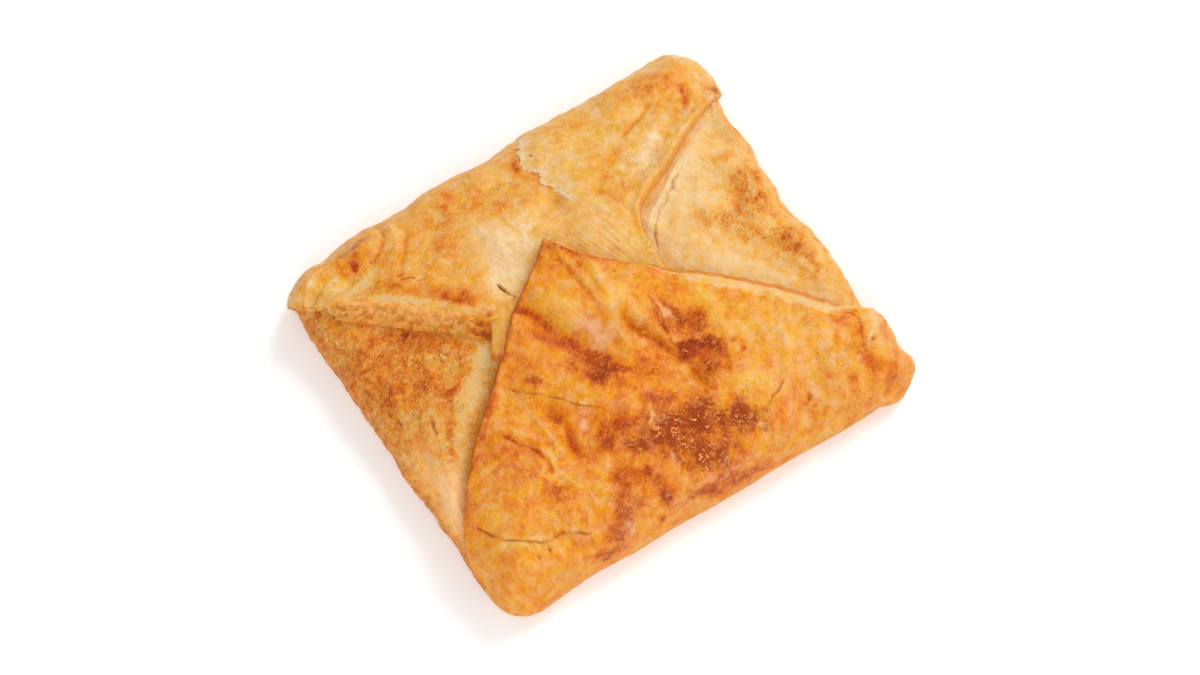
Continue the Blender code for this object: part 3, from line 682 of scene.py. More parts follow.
def from_path(u, v, path, reach):
    """Distance from a path with its sign, positive on the left of its way, no further than reach."""
    path = rounded(path)
    far = np.full(np.shape(u), reach * 10.0)
    near = (u > path[:, 0].min() - reach) & (u < path[:, 0].max() + reach)
    near &= (v > path[:, 1].min() - reach) & (v < path[:, 1].max() + reach)
    if not near.any():
        return far
    pu = u[near]
    pv = v[near]
    best = np.full(pu.shape, 1e9)
    side = np.ones(pu.shape)
    for (u0, v0), (u1, v1) in zip(path[:-1], path[1:]):
        run = math.hypot(u1 - u0, v1 - v0)
        au = (u1 - u0) / run
        av = (v1 - v0) / run
        along = np.clip((pu - u0) * au + (pv - v0) * av, 0.0, run)
        du = pu - u0 - along * au
        dv = pv - v0 - along * av
        gap = np.hypot(du, dv)
        closer = gap < best
        best = np.where(closer, gap, best)
        side = np.where(closer, np.where(au * dv - av * du < 0.0, -1.0, 1.0), side)
    far[near] = best * side
    return far


def along_path(path, distance):
    """Points on a path at distances from its start; before the start it runs straight on."""
    path = np.array(path)
    steps = np.hypot(*np.diff(path, axis=0).T)
    marks = np.concatenate(([0.0], np.cumsum(steps)))
    u = np.interp(distance, marks, path[:, 0])
    v = np.interp(distance, marks, path[:, 1])
    heading = (path[1] - path[0]) / steps[0]
    early = np.minimum(distance, 0.0)
    return u + heading[0] * early, v + heading[1] * early


def softened(path, width=3.0):
    """A path of straight stretches with its corners rounded off, its ends kept."""
    path = np.array(path, float)
    steps = np.hypot(*np.diff(path, axis=0).T)
    length = float(steps.sum())
    marks = np.linspace(0.0, length, max(8, int(length)))
    total = np.zeros((len(marks), 2))
    for shift in np.linspace(-width, width, 7):
        at = marks + shift * np.minimum(1.0, np.minimum(marks, length - marks) / width)
        total += np.stack(along_path(path, np.clip(at, 0.0, length)), axis=1)
    return total / 7.0


def path_length(path):
    """Length of a path."""
    return float(np.sum(np.hypot(*np.diff(np.array(path), axis=0).T)))


class Block:
    """The filled block in millimetres, and how the flat dough lies over it."""

    def __init__(self, sizes):
        self.length = sizes.block_length / MM
        self.width = sizes.block_width / MM
        self.radius = sizes.shoulder_radius / MM
        self.height = sizes.shoulder_height / MM
        self.crown = sizes.crown / MM
        self.tuck = sizes.tuck / MM
        self.thickness = sizes.flap_thickness / MM
        self.inner_u = self.length / 2 - self.radius
        self.inner_v = self.width / 2 - self.radius
        self.wall = self.height - self.radius
        self.arc = self.radius * math.pi / 2
        self.reach = self.arc + self.wall + BELOW_TABLE

    def beyond_middle(self, u, v):
        """Nearest point of the flat middle, the way out from it and how far."""
        near_u = np.clip(u, -self.inner_u, self.inner_u)
        near_v = np.clip(v, -self.inner_v, self.inner_v)
        du = u - near_u
        dv = v - near_v
        out = (np.abs(du) ** OUTLINE_POWER + np.abs(dv) ** OUTLINE_POWER) ** (1.0 / OUTLINE_POWER)
        safe = np.maximum(out, 1e-9)
        return near_u, near_v, du / safe, dv / safe, out

    def ringed(self, u, v):
        """A square grid moved onto the block's rounded rings, and how far its rings and points lie out."""
        near_u, near_v, way_u, way_v, out = self.beyond_middle(u, v)
        ring = np.maximum(np.abs(u - near_u), np.abs(v - near_v))
        return near_u + way_u * ring, near_v + way_v * ring, ring, out

    def lay(self, u, v, lift):
        """Lay a point of the flat dough over the block, at a height above its surface."""
        near_u, near_v, way_u, way_v, out = self.beyond_middle(u, v)
        turn = np.minimum(out / self.radius, math.pi / 2)
        down = np.maximum(0.0, out - self.arc)
        drawn_in = self.tuck * (down / (self.wall + BELOW_TABLE)) ** 2
        reach = (self.radius + lift) * np.sin(turn) - drawn_in
        x = near_u + way_u * reach
        y = near_v + way_v * reach
        crown = self.crown * (1.0 - (near_u / self.inner_u) ** 2) * (1.0 - (near_v / self.inner_v) ** 2)
        z = crown + self.wall + (self.radius + lift) * np.cos(turn) - down
        right = stand_out(RIGHT_SIDE, y) * smooth(SIDE_FADE * self.inner_u, self.length / 2, x)
        left = stand_out(LEFT_SIDE, y) * smooth(SIDE_FADE * self.inner_u, self.length / 2, -x)
        back = stand_out(BACK_SIDE, x) * smooth(SIDE_FADE * self.inner_v, self.width / 2, y)
        front = stand_out(FRONT_SIDE, x) * smooth(SIDE_FADE * self.inner_v, self.width / 2, -y)
        return x + right - left + CENTRING[0], y + back - front + CENTRING[1], z


def stand_out(side, along):
    """How far a side stands out, eased from each of its named places to the next."""
    places = np.array([place for place, out in side])
    outs = np.array([out for place, out in side])
    number = np.clip(np.searchsorted(places, along) - 1, 0, len(side) - 2)
    share = smooth(places[number], places[number + 1], along)
    return outs[number] + (outs[number + 1] - outs[number]) * share


def straight_distance(u, v, path):
    """Distance to a path of straight stretches."""
    nearest = np.full(np.shape(u), 1e9)
    for (u0, v0), (u1, v1) in zip(path[:-1], path[1:]):
        run_u = u1 - u0
        run_v = v1 - v0
        along = np.clip(((u - u0) * run_u + (v - v0) * run_v) / (run_u ** 2 + run_v ** 2), 0.0, 1.0)
        nearest = np.minimum(nearest, np.hypot(u - u0 - along * run_u, v - v0 - along * run_v))
    return nearest


def relief(u, v, swells, creases):
    """Main bulges, hollows, creases and puff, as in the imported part."""
    height = np.zeros(np.shape(u))
    for (at_u, at_v), radius, rise in swells:
        height += rise * np.exp(-((u - at_u) ** 2 + (v - at_v) ** 2) / radius ** 2)
    for path, width, rise in creases:
        height += rise * np.exp(-(straight_distance(u, v, path) / width) ** 2)
    for heading, length, rise, phase in PUFF:
        along = u * math.cos(heading) + v * math.sin(heading)
        height += rise * np.sin(along * 2.0 * math.pi / length + phase)
    return height


def fine_relief(u, v, fine, cracks, pits, seed):
    """Height of the drawn ridges, grooves, cracks and pits, and how far a place lies in a crack."""
    wu, wv = strayed(u, v, seed, 0.45)
    height = np.zeros(np.shape(u))
    for path, width, rise in fine:
        gap = from_path(wu, wv, path, width * 3.0)
        height += rise * np.exp(-(gap / width) ** 2)
    dark = np.zeros(np.shape(u))
    jitter = 0.16 * waves(u / 0.9, v / 0.9, seed + 6)
    breaks = smooth(-0.75, 0.25, waves(u / 4.3, v / 4.3, seed + 7) + 0.3 * waves(u / 1.3, v / 1.3, seed + 9))
    for path, width, depth in cracks:
        gap = from_path(wu, wv, path, 6.0) + jitter
        height -= depth * np.exp(-(gap / width) ** 2) * (0.4 + 0.6 * breaks)
        height += 0.25 * depth * np.exp(-((gap - 2.4 * width) / (2.0 * width)) ** 2)
        dark = np.maximum(dark, np.exp(-(gap / width) ** 2) * (0.15 + 0.85 * breaks))
    for (at_u, at_v), radius, depth in pits:
        hole = np.exp(-((wu - at_u) ** 2 + (wv - at_v) ** 2) / radius ** 2)
        height -= depth * hole
        if radius < 1.0:
            dark = np.maximum(dark, hole)
    return height, dark


def frayed(u, v, seed):
    """The place moved at random, coarse and fine, so that drawn patches get frayed outlines."""
    wu, wv = strayed(u, v, seed, 1.3)
    return wu + 0.6 * waves(u / 1.1, v / 1.1, seed + 8), wv + 0.6 * waves(u / 1.1, v / 1.1, seed + 9)


def in_patch(u, v, at, long, short, heading):
    """How much of a drawn patch a place has: 1 in its middle, 0 outside."""
    turn = math.radians(heading)
    du = (u - at[0]) * math.cos(turn) + (v - at[1]) * math.sin(turn)
    dv = (v - at[1]) * math.cos(turn) - (u - at[0]) * math.sin(turn)
    return np.exp(-((du / long) ** 2 + (dv / short) ** 2) ** 1.3)


def browned(u, v, patches, seed):
    """Browning and scorch that the named places add."""
    wu, wv = frayed(u, v, seed)
    bake = np.zeros(np.shape(u))
    scorch = np.zeros(np.shape(u))
    for at, long, short, heading, more, burnt in patches:
        inside = in_patch(wu, wv, at, long, short, heading)
        bake += more * inside
        scorch = np.maximum(scorch, burnt * inside)
    return bake, scorch


def milky(u, v, patches, seed):
    """Milkiness of the skin that the named places add."""
    wu, wv = frayed(u, v, seed)
    film_and_glint = np.zeros(np.shape(u))
    for at, long, short, heading, more in patches:
        film_and_glint += more * in_patch(wu, wv, at, long, short, heading)
    return film_and_glint


def stained(u, v, lines, seed):
    """Browning and scorch along the named lines, uneven in width and strength."""
    wu, wv = strayed(u, v, seed, 0.5)
    uneven = smooth(-0.9, 0.3, waves(u / 2.8, v / 2.8, seed + 7))
    bake = np.zeros(np.shape(u))
    scorch = np.zeros(np.shape(u))
    for path, width, more, burnt in lines:
        gap = from_path(wu, wv, path, width * 3.0) + 0.3 * width * waves(u / 0.9, v / 0.9, seed + 8)
        inside = np.exp(-(gap / width) ** 2) * (0.45 + 0.55 * uneven)
        bake += more * inside
        scorch += burnt * inside
    return bake, scorch


def drawn(u, v, tables, seed):
    """What the tables draw on a fold: fine relief, cracks, browning in places and on lines, scorch."""
    ridges, cracks, pits, patches, stains = tables
    fine, dark = fine_relief(u, v, ridges, cracks, pits, seed + 11)
    bake, scorch = browned(u, v, patches, seed + 21)
    stain, singed = stained(u, v, stains, seed + 25)
    return fine, dark, bake, stain, scorch + singed


def rim_table(layer, thickness):
    """Places outside a cut edge where its layers step down, and the drop at each."""
    table = [(0.0, 0.0)]
    for number in range(LAYERS):
        table.append((-(number * layer + 0.8 * layer), number * LAYER_DROP + 0.35))
        table.append((-(number * layer + layer), (number + 1) * LAYER_DROP))
    table.append((-(LAYERS * layer + 0.5), thickness + 1.2))
    table = table[::-1]
    return [place for place, drop in table], [drop for place, drop in table]


def grid_quads(rows, columns):
    """The quads of a grid, as the numbers of their corner points."""
    index = np.arange(rows * columns).reshape(rows, columns)
    corners = (index[:-1, :-1], index[:-1, 1:], index[1:, 1:], index[1:, :-1])
    return np.stack(corners, axis=-1).reshape(-1, 4)


def off_table(quads, z):
    """The quads that do not lie wholly on the table."""
    return quads[(z[quads] > ON_TABLE).any(axis=1)]


def put(name, data):
    """Put a mesh, a lamp or a camera in the scene."""
    thing = bpy.data.objects.new(name, data)
    bpy.context.scene.collection.objects.link(thing)
    return thing


def sheet(name, block, u, v, lift, fields, depth=4.0):
    """A closed piece: a fine grid of dough laid over the block, its edge carried down inside.

    Points under the table are brought up to it, and faces wholly on the table are left out.
    The fields are numbers for each point, which the material reads.
    """
    rows, columns = u.shape
    count = rows * columns
    x, y, z = block.lay(u, v, lift)
    low, high = BOX
    x = np.clip(x.ravel() * MM, low[0], high[0])
    y = np.clip(y.ravel() * MM, low[1], high[1])
    z = np.clip(z.ravel() * MM, 0.0, high[2])
    quads = off_table(grid_quads(rows, columns), z)
    # An edge that no neighbour runs the other way lies on the rim
    ahead = np.concatenate([quads[:, (k, (k + 1) % 4)] for k in range(4)])
    rim = ahead[~np.isin(ahead[:, 0] * count + ahead[:, 1], ahead[:, 1] * count + ahead[:, 0])]
    edge_points = np.unique(rim)
    ring_of = np.full(count, -1)
    ring_of[edge_points] = np.arange(len(edge_points)) + count
    # The rim goes down inside to a ring, and the ring runs in to the heart of the block
    deep = np.minimum(np.broadcast_to(lift, u.shape).ravel()[edge_points], 0.0) - depth
    ring = np.stack(block.lay(u.ravel()[edge_points], v.ravel()[edge_points], deep), axis=1) * MM
    ring[:, 2] = np.maximum(ring[:, 2], LOWEST_RING * MM)
    heart = np.array(HEART) * MM
    every = np.vstack((np.stack((x, y, z), axis=1), ring, heart[None]))
    centre = len(every) - 1
    walls = np.stack((rim[:, 1], rim[:, 0], ring_of[rim[:, 0]], ring_of[rim[:, 1]]), axis=1)
    fans = np.stack((ring_of[rim[:, 1]], ring_of[rim[:, 0]], np.full(len(rim), centre)), axis=1)
    used = np.zeros(len(every), bool)
    used[quads.ravel()] = True
    used[count:] = True
    number = np.cumsum(used) - 1
    every = every[used]
    faces = number[quads].tolist() + number[walls].tolist() + number[fans].tolist()
    mesh = bpy.data.meshes.new(name)
    mesh.from_pydata(every.tolist(), [], faces)
    kept = used[:count]
    extra = len(every) - int(kept.sum())
    for field, values in fields.items():
        values = np.broadcast_to(values, u.shape).ravel()[kept]
        values = np.clip(values, 0.0, FIELD_TOPS.get(field, 1.0))
        values = np.concatenate((values, np.full(extra, float(values.mean()))))
        mesh.attributes.new(field, "FLOAT", "POINT").data.foreach_set("value", values.astype(np.float32))
    mesh.validate()
    mesh.shade_smooth()
    return put(name, mesh)


def settle(piece, material):
    """Give a piece its finish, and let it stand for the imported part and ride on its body."""
    piece.data.materials.clear()
    piece.data.materials.append(material)
    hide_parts(NODE)
    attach(piece, "root")


def lifted(block, u, v, top, at_left, at_right):
    """Height of a fold above the block: its own on top, thin on the walls, more round the corners."""
    out = block.beyond_middle(u, v)[4]
    on_wall = smooth(0.0, block.arc * 0.8, out)
    corners = at_left * smooth(56.0, 66.0, -u) + at_right * smooth(56.0, 66.0, u)
    return top + (1.0 + corners - top) * on_wall


def front_lift(block, u, v):
    """Height of the front fold, which rides higher where it lies over the back fold."""
    over_back = smooth(-15.0, -1.0, v - 0.015 * (u + 2.0) ** 2)
    top = block.thickness + block.thickness * 0.85 * over_back
    return lifted(block, u, v, top, 0.8, 2.2)


def back_lift(block, u, v):
    """Height of the back fold, which thins out behind the shoulder."""
    top = block.thickness - 1.5 * smooth(34.0, 48.0, v)
    return lifted(block, u, v, top, 1.8, 0.8)


def wall_fade(block, u, v):
    """Share of the relief that is left on the way down to the table."""
    out = block.beyond_middle(u, v)[4]
    return 1.0 - 0.8 * smooth(block.arc * 0.7, block.reach, out)


def front_grid(cell, right_end, left_end):
    """How far in from the front fold's right and left cut edges, and the places u and v there.

    The grid starts outside both edges, where their layers step down.
    """
    inside = np.arange(cell, FRONT_REACH, cell)
    along_left = np.concatenate((np.arange(right_end, 0.0, 0.25), [0.0], inside))
    along_right = np.concatenate((np.arange(left_end, 0.0, 0.14), [0.0], inside))
    a, b = np.meshgrid(along_left, along_right)
    waver_right = (0.40 * ripple(b / 6.0, 3) + 0.20 * ripple(b / 1.9, 4, 5.0)) * smooth(4.0, 14.0, b)
    waver_left = (0.30 * ripple(a / 6.0, 5) + 0.20 * ripple(a / 1.9, 6, 5.0)) * smooth(2.0, 10.0, a)
    wide = 0.20 + 0.66 * smooth(16.0, 52.0, b)
    at_left = np.where(a < 0.0, a * wide, a) + waver_right * np.exp(-np.maximum(a, 0.0) / 4.0)
    at_right = b + waver_left * np.exp(-np.maximum(b, 0.0) / 4.0)
    left_u, left_v = along_path(softened(FRONT_LEFT, 1.6), at_left)
    right_u, right_v = along_path(softened(FRONT_RIGHT, 1.6), at_right)
    return a, b, left_u + right_u - FRONT_TIP[0], left_v + right_v - FRONT_TIP[1]


def front_fold(block, cell):
    """The front fold, whose two cut edges run along its grid."""
    right_steps, right_drops = rim_table(1.6, block.thickness)
    left_steps, left_drops = rim_table(0.35, block.thickness)
    a, b, u, v = front_grid(cell, right_steps[0], left_steps[0])
    fade = wall_fade(block, u, v)
    on_wall = smooth(0.3, 1.0, 1.0 - fade)
    tables = (FRONT_FINE, FRONT_CRACKS, FRONT_PITS, FRONT_PATCHES, FRONT_STAINS)
    fine, dark, bake, stain, scorch = drawn(u, v, tables, 0)
    burst = smooth(0.15, 0.6, scorch)
    flaky = 0.24 + 0.8 * burst + 0.25 * on_wall + 0.35 * waves(u / 9.0, v / 9.0, 96)
    flaky = np.clip(flaky, 0.0, 1.0)
    leaf, leaf_rim_glint, leaf_painted_shade = leaves(u, v, 8.0, 31)
    flake, flake_rim_glint, flake_painted_shade = flaked(u, v, 2.6, 33)

    # Relief of the skin, and the drop of the layers at the cut edges
    upright = smooth(12.0, 26.0, u)
    rolled = streaks(u, v, 45.0, 1.3, 9.0, 35) * (1.0 - upright)
    rolled = rolled + 1.5 * streaks(u, v, 59.0, 1.7, 14.0, 37) * upright
    skin = 1.2 * fine + 0.20 * leaf + 0.24 * rough(u / 6.0, v / 6.0, 51, 4)
    height = relief(u, v, FRONT_SWELLS, FRONT_CREASES) * fade
    height += (skin + 0.05 * waves(u / 1.1, v / 1.1, 52)) * fade
    height += (0.26 * flake * flaky + 0.05 * rolled) * (1.0 - 0.5 * on_wall)
    ragged = 0.35 * ripple(b / 2.6, 61) + 0.2 * ripple(b / 0.9, 62, 9.0)
    torn_at = np.minimum(a + ragged * smooth(0.0, -0.6, a), 0.0)
    drop = np.maximum(np.interp(torn_at, right_steps, right_drops), np.interp(b, left_steps, left_drops))
    lift = front_lift(block, u, v) + height * (1.0 - 0.8 * smooth(0.0, 5.0, drop)) - drop

    # Browning of the skin: browner in the grooves from pooled egg wash and partly painted shade, with
    # painted shade and highlight at the flake edges
    mottle = 0.08 * rough(u / 5.0, v / 5.0, 71, 3) + 0.045 * dabs(u, v, 3.0, 73)
    bake = 0.525 + bake + stain + mottle + 0.035 * rolled + 0.03 * leaf - 0.10 * fine - 0.04 * on_wall
    # Painted shade beside the flake and leaf edges, and lighter rims that are partly a painted highlight
    bake += (0.12 * flake_painted_shade - 0.16 * flake_rim_glint) * flaky + 0.05 * leaf_painted_shade - 0.06 * leaf_rim_glint
    near_left = np.exp(-np.maximum(b, 0.0) / 0.8)
    near_right = np.exp(-np.maximum(a, 0.0) / 0.6)
    bake += 0.16 * near_left * smooth(0.0, 4.0, a) + 0.14 * near_right * (1.0 - smooth(24.0, 40.0, b))

    # The right edge is bared in scallops, and shows pale layers on its cut
    scallop = 2.0 + 1.2 * ripple(b / 3.0, 82, 2.0) + 0.5 * ripple(b / 1.1, 83, 4.0)
    bared = (1.0 - smooth(scallop - 0.4, scallop + 0.4, a)) * smooth(34.0, 50.0, b)
    bared = bared * (1.0 - smooth(84.0, 92.0, b))
    bake += (0.30 + 0.08 * waves(a / 0.4, b / 9.0, 84) - bake) * bared
    lines = waves(a / 0.45, b / 11.0, 81)
    pale_layer = np.interp(a, *PALE_LAYERS)
    layer = pale_layer + (0.58 - pale_layer) * (1.0 - smooth(22.0, 44.0, b)) + 0.09 * lines
    left_cut = 0.66 + 0.05 * waves(b / 0.3, a / 9.0, 85)
    bake = np.where(b < -CUT, left_cut, np.where(a < -CUT, layer, bake))
    scorch = np.where((a < 0.0) | (b < 0.0), 0.0, scorch)
    # Milkiness of the skin; above 1 the finish paints blister skin and pink-white painted highlights
    film_and_glint = 0.36 + 0.75 * rough(u / 3.0, v / 3.0, 97, 2) + 0.20 * fine
    film_and_glint = film_and_glint + milky(u, v, FRONT_FILM_AND_GLINTS, 27) + 0.3 * bared
    fields = {
        "bake": bake,
        "scorch": scorch * (0.95 + 0.70 * rough(u / 4.0, v / 4.0, 91, 3)),
        "dark": dark,
        "raw": np.where((a < -CUT) & (a > -1.4) & (b > 34.0), 0.25, 0.0),
        "wash": 0.75 + 0.3 * rough(u / 8.0, v / 8.0, 95, 2) - 0.5 * burst,
        "flaky": flaky,
        "film_and_glint": film_and_glint,
    }
    return sheet("front_fold", block, u, v, lift, fields)


def across_folds(left, right, share, travel):
    """Places u and v on straight lines between two edges."""
    left = softened(left, 2.0)
    right = softened(right, 2.0)
    left_u, left_v = along_path(left, travel * path_length(left))
    right_u, right_v = along_path(right, travel * path_length(right))
    return left_u + (right_u - left_u) * share, left_v + (right_v - left_v) * share


def back_grid(cell, left_end):
    """The back fold's grid: its share of the way along, how far outside each cut edge, u and v."""
    left_out = np.arange(left_end, 0.0, 0.3)
    right_out = np.arange(-1.5, 0.0, 0.12)[::-1]
    middle = int(BACK_SPAN[0] / cell)
    count = len(left_out) + middle + len(right_out)
    outside_left = np.concatenate((left_out, np.zeros(middle + len(right_out))))
    outside_right = np.concatenate((np.zeros(len(left_out) + middle), right_out))
    share = np.clip((np.arange(count) - len(left_out)) / (middle - 1), 0.0, 1.0)
    travel = np.linspace(0.0, 1.0, int(BACK_SPAN[1] / cell))
    s, t = np.meshgrid(share, travel)
    off_left = np.broadcast_to(outside_left, s.shape)
    off_right = np.broadcast_to(outside_right, s.shape)
    u, v = across_folds(BACK_LEFT, BACK_RIGHT, s, t)
    taper = 1.0 - 0.6 * smooth(56.0, 74.0, -u)
    u = u - off_left * taper * BACK_LEFT_OUT[0] - off_right * BACK_RIGHT_OUT[0]
    v = v - off_left * taper * BACK_LEFT_OUT[1] - off_right * BACK_RIGHT_OUT[1]
    return t, off_left, -off_right, u, v


def back_fold(block, cell):
    """The back fold, wide at the back wall and narrow where the front fold covers it."""
    left_steps, left_drops = rim_table(1.7, block.thickness)
    t, off_left, out_right, u, v = back_grid(cell, left_steps[0])
    fade = wall_fade(block, u, v)
    on_wall = smooth(0.3, 1.0, 1.0 - fade)
    tables = (BACK_FINE, BACK_CRACKS, BACK_PITS, BACK_PATCHES, BACK_STAINS)
    fine, dark, bake, stain, scorch = drawn(u, v, tables, 100)
    leaf, leaf_rim_glint, leaf_painted_shade = leaves(u, v, 7.0, 131, 3.0)
    flake, flake_rim_glint, flake_painted_shade = flaked(u, v, 2.8, 133)

    # Pale dough with pulled strands, and the hanging crumbs of the torn left edge
    strand_zone = zone(u, v, *STRAND_ZONE)
    pale_zone = zone(u, v, *PALE_ZONE)
    across = u * 0.94 + v * 0.34
    lengthwise = v * 0.94 - u * 0.34
    strands = rough(across / 1.1 + 0.7 * waves(u / 9.0, v / 9.0, 141), lengthwise / 14.0, 142, 3)
    combed = 0.5 * (strand_zone + 0.6 * pale_zone)
    calm = (1.0 - strand_zone) * (1.0 - 0.6 * pale_zone)
    length = t * 110.0
    ragged = 0.9 * ripple(length / 7.0, 161) + 0.6 * ripple(length / 2.4, 162, 9.0)
    crumbs = rough(u / 2.2, v / 1.3, 171, 4)
    drips = rough(length / 2.4 + 0.5 * crumbs, off_left / 2.4, 174, 3)
    hanging = smooth(0.02, 0.30, drips + 0.10)
    hollows = smooth(0.0, 0.35, -drips - 0.10)
    on_left = smooth(0.0, 0.8, -off_left)
    flaky = 0.28 + 0.4 * on_left + 1.0 * np.maximum(bake, 0.0) + 0.2 * on_wall
    flaky = np.clip(flaky + 0.35 * waves(u / 9.0, v / 9.0, 96), 0.0, 1.0) * calm

    # Relief of the skin, and the drop of the layers at the cut edges
    height = relief(u, v, BACK_SWELLS, BACK_CREASES) * fade
    height += (1.2 * fine + 0.26 * leaf * calm + 0.26 * rough(u / 6.0, v / 6.0, 151, 4)) * fade
    height += 0.62 * strands * combed + 0.05 * waves(u / 1.1, v / 1.1, 152) * fade + 0.24 * flake * flaky
    torn_at = off_left + (ragged + 0.7 * crumbs) * smooth(0.0, 1.5, -off_left)
    drop = np.interp(np.clip(torn_at, left_steps[0], 0.0), left_steps, left_drops)
    drop = drop + (np.interp(off_left, left_steps, left_drops) - drop) * smooth(3.6, 5.2, -off_left)
    roll = 0.5 * smooth(0.0, 0.6, out_right) + 5.8 * smooth(0.35, 1.5, out_right)
    lift = back_lift(block, u, v) + height - drop - roll
    lift += (0.28 * crumbs + 0.12 * hanging - 0.14 * hollows) * on_left

    # Browning of the skin: browner in the grooves from pooled egg wash and partly painted shade, with
    # painted shade and highlight at the flake edges
    mottle = 0.08 * rough(u / 4.6, v / 4.6, 181, 3) + 0.055 * dabs(u, v, 3.0, 183)
    rolled = streaks(u, v, -31.0, 1.5, 7.0, 185)
    base = 0.42 - 0.07 * smooth(2.0, 12.0, u)
    bake = base + bake + stain + mottle + 0.05 * rolled * calm + 0.05 * leaf - 0.06 * fine
    bake = bake - 0.15 * strands * combed
    bake += (0.10 * flake_painted_shade - 0.14 * flake_rim_glint) * flaky + (0.07 * leaf_painted_shade - 0.08 * leaf_rim_glint) * calm
    inner_left = straight_distance(u, v, BACK_LEFT)
    bake -= 0.10 * np.exp(-((inner_left - 1.0) / 0.8) ** 2)
    bake += 0.10 * np.exp(-((inner_left - 4.5) / 2.2) ** 2) * smooth(-56.0, -40.0, u)
    film_and_glint = 0.45 + 0.50 * rough(u / 3.0, v / 3.0, 197, 2) + 0.15 * fine + milky(u, v, BACK_FILM, 127)

    # The torn left edge, with painted shade under its layers and darker at its end, and the rolled right
    # edge
    # Painted shade under the overhanging layers of the torn edge: darker, less milky, and with less bright
    # crumb
    under = smooth(2.6, 3.8, -off_left)
    end = np.exp(-((u + 31.0) / 4.0) ** 2)
    torn = 0.42 - 0.13 * hanging + 0.12 * hollows + 0.14 * crumbs + 0.12 * under + 0.26 * end
    bake = np.where(off_left < -CUT, torn, bake)
    rim = 0.36 + (0.03 + 0.12 * crumbs + 0.12 * smooth(0.5, 1.3, out_right)) * smooth(10.0, 22.0, v)
    bake = np.where(out_right > 0.06, rim + 0.14 * smooth(58.0, 70.0, u), bake)
    film_and_glint = np.where(off_left < -CUT, 0.45 + 0.2 * hanging - 0.2 * hollows - 0.25 * under - 0.9 * end, film_and_glint)
    # Bright torn crumb, partly painted light: it brightens the torn wall and the rolled edge, which the
    # lamps light less than the top
    lit_crumb = (0.42 + 0.20 * hanging - 0.08 * hollows + 0.2 * crumbs) * (1.0 - 0.5 * under)
    lit_crumb = lit_crumb * (1.0 - smooth(56.0, 68.0, -u)) * (1.0 - 0.8 * end)
    lit_crumb = np.where(off_left < -CUT, lit_crumb, (0.18 + 0.3 * crumbs) * (out_right > CUT))
    fields = {
        "bake": bake,
        "scorch": scorch,
        "dark": dark,
        "raw": (0.26 * strand_zone + 0.25 * pale_zone) * (out_right < CUT),
        "wash": 0.6 + 0.3 * rough(u / 8.0, v / 8.0, 195, 2) - 0.4 * strand_zone,
        "flaky": flaky,
        "film_and_glint": film_and_glint,
        "lit_crumb": lit_crumb,
    }
    return sheet("back_fold", block, u, v, lift, fields)


def grid_between(span, cell):
    """Shares across and along of a grid between two edges, for a span of the given sizes."""
    return np.meshgrid(*(np.linspace(0.0, 1.0, int(size / cell)) for size in span))


def loose_crust(block, cell):
    """The top crust that has lifted off the back fold behind its torn lip."""
    s, t = grid_between(CRUST_SPAN, cell)
    length = t * 60.0
    inland = s * 38.0
    jag = 0.6 * ripple(length / 3.2, 201) + 0.8 * ripple(length / 1.3, 202, 3.0)
    jag += 0.6 * ripple(length / 0.6, 204, 6.0)
    part = np.clip(s + jag * 0.030 * (1.0 - s) ** 5, -0.1, 1.0)
    u, v = across_folds(CRUST_LIP, CRUST_RIGHT, part, t)
    tables = (BACK_FINE, BACK_CRACKS, BACK_PITS, BACK_PATCHES, BACK_STAINS[3:10])
    fine, dark, bake, stain, scorch = drawn(u, v, tables, 100)
    leaf, leaf_rim_glint, leaf_painted_shade = leaves(u, v, 8.0, 131, 3.0)
    flake, flake_rim_glint, flake_painted_shade = flaked(u, v, 3.0, 205)

    # It sinks into the back fold away from its lip, and the lip curls up here and there
    sinking = 1.6 * smooth(0.40, 1.0, s) + 2.4 * smooth(0.62, 1.0, t) * (1.0 - s)
    ends = 1.8 * (1.0 - smooth(0.0, 0.13, t))
    raised = 0.9 + 0.9 * ripple(length / 5.0, 206)
    curl = 0.16 * raised * np.exp(-inland / 1.4) - 0.10 * np.exp(-inland / 0.3)
    curl = curl * (1.0 - smooth(0.8, 1.0, t))
    curl += 0.20 * (raised - 0.9) * np.exp(-inland / 5.0)
    lift = back_lift(block, u, v) + relief(u, v, BACK_SWELLS, BACK_CREASES) + fine
    lift = lift + 0.30 - sinking - ends + curl
    lift += 0.20 * leaf + 0.22 * rough(u / 6.0, v / 6.0, 151, 4) + 0.12 * flake

    # Browning of the skin: browner in the grooves from pooled egg wash and partly painted shade, with
    # painted shade and highlight at the flake edges
    mottle = 0.08 * rough(u / 5.0, v / 5.0, 211, 3) + 0.045 * dabs(u, v, 3.0, 213)
    rolled = streaks(u, v, -31.0, 1.5, 7.0, 215)
    # The lip is paler and milkier: pale torn crust, partly a painted highlight on its lit edge
    lip = np.exp(-inland / 3.2) * (1.0 - smooth(0.7, 0.9, t))
    bake = 0.38 + bake + stain + mottle + 0.045 * rolled + 0.04 * leaf - 0.26 * lip - 0.06 * fine
    bake += 0.07 * leaf_painted_shade - 0.08 * leaf_rim_glint + 0.06 * flake_painted_shade - 0.08 * flake_rim_glint
    film_and_glint = 0.34 + 0.42 * rough(u / 3.4, v / 3.4, 217, 2) + milky(u, v, BACK_FILM, 127) + 0.6 * lip
    fields = {
        "bake": bake,
        "scorch": scorch,
        "dark": dark,
        "raw": 0.10 * lip,
        "wash": 0.65 + 0.3 * rough(u / 8.0, v / 8.0, 195, 2),
        "flaky": 0.30 + 1.0 * np.maximum(bake - 0.42, 0.0) + 0.3 * lip,
        "film_and_glint": film_and_glint,
    }
    return sheet("loose_crust", block, u, v, lift, fields, depth=3.0)


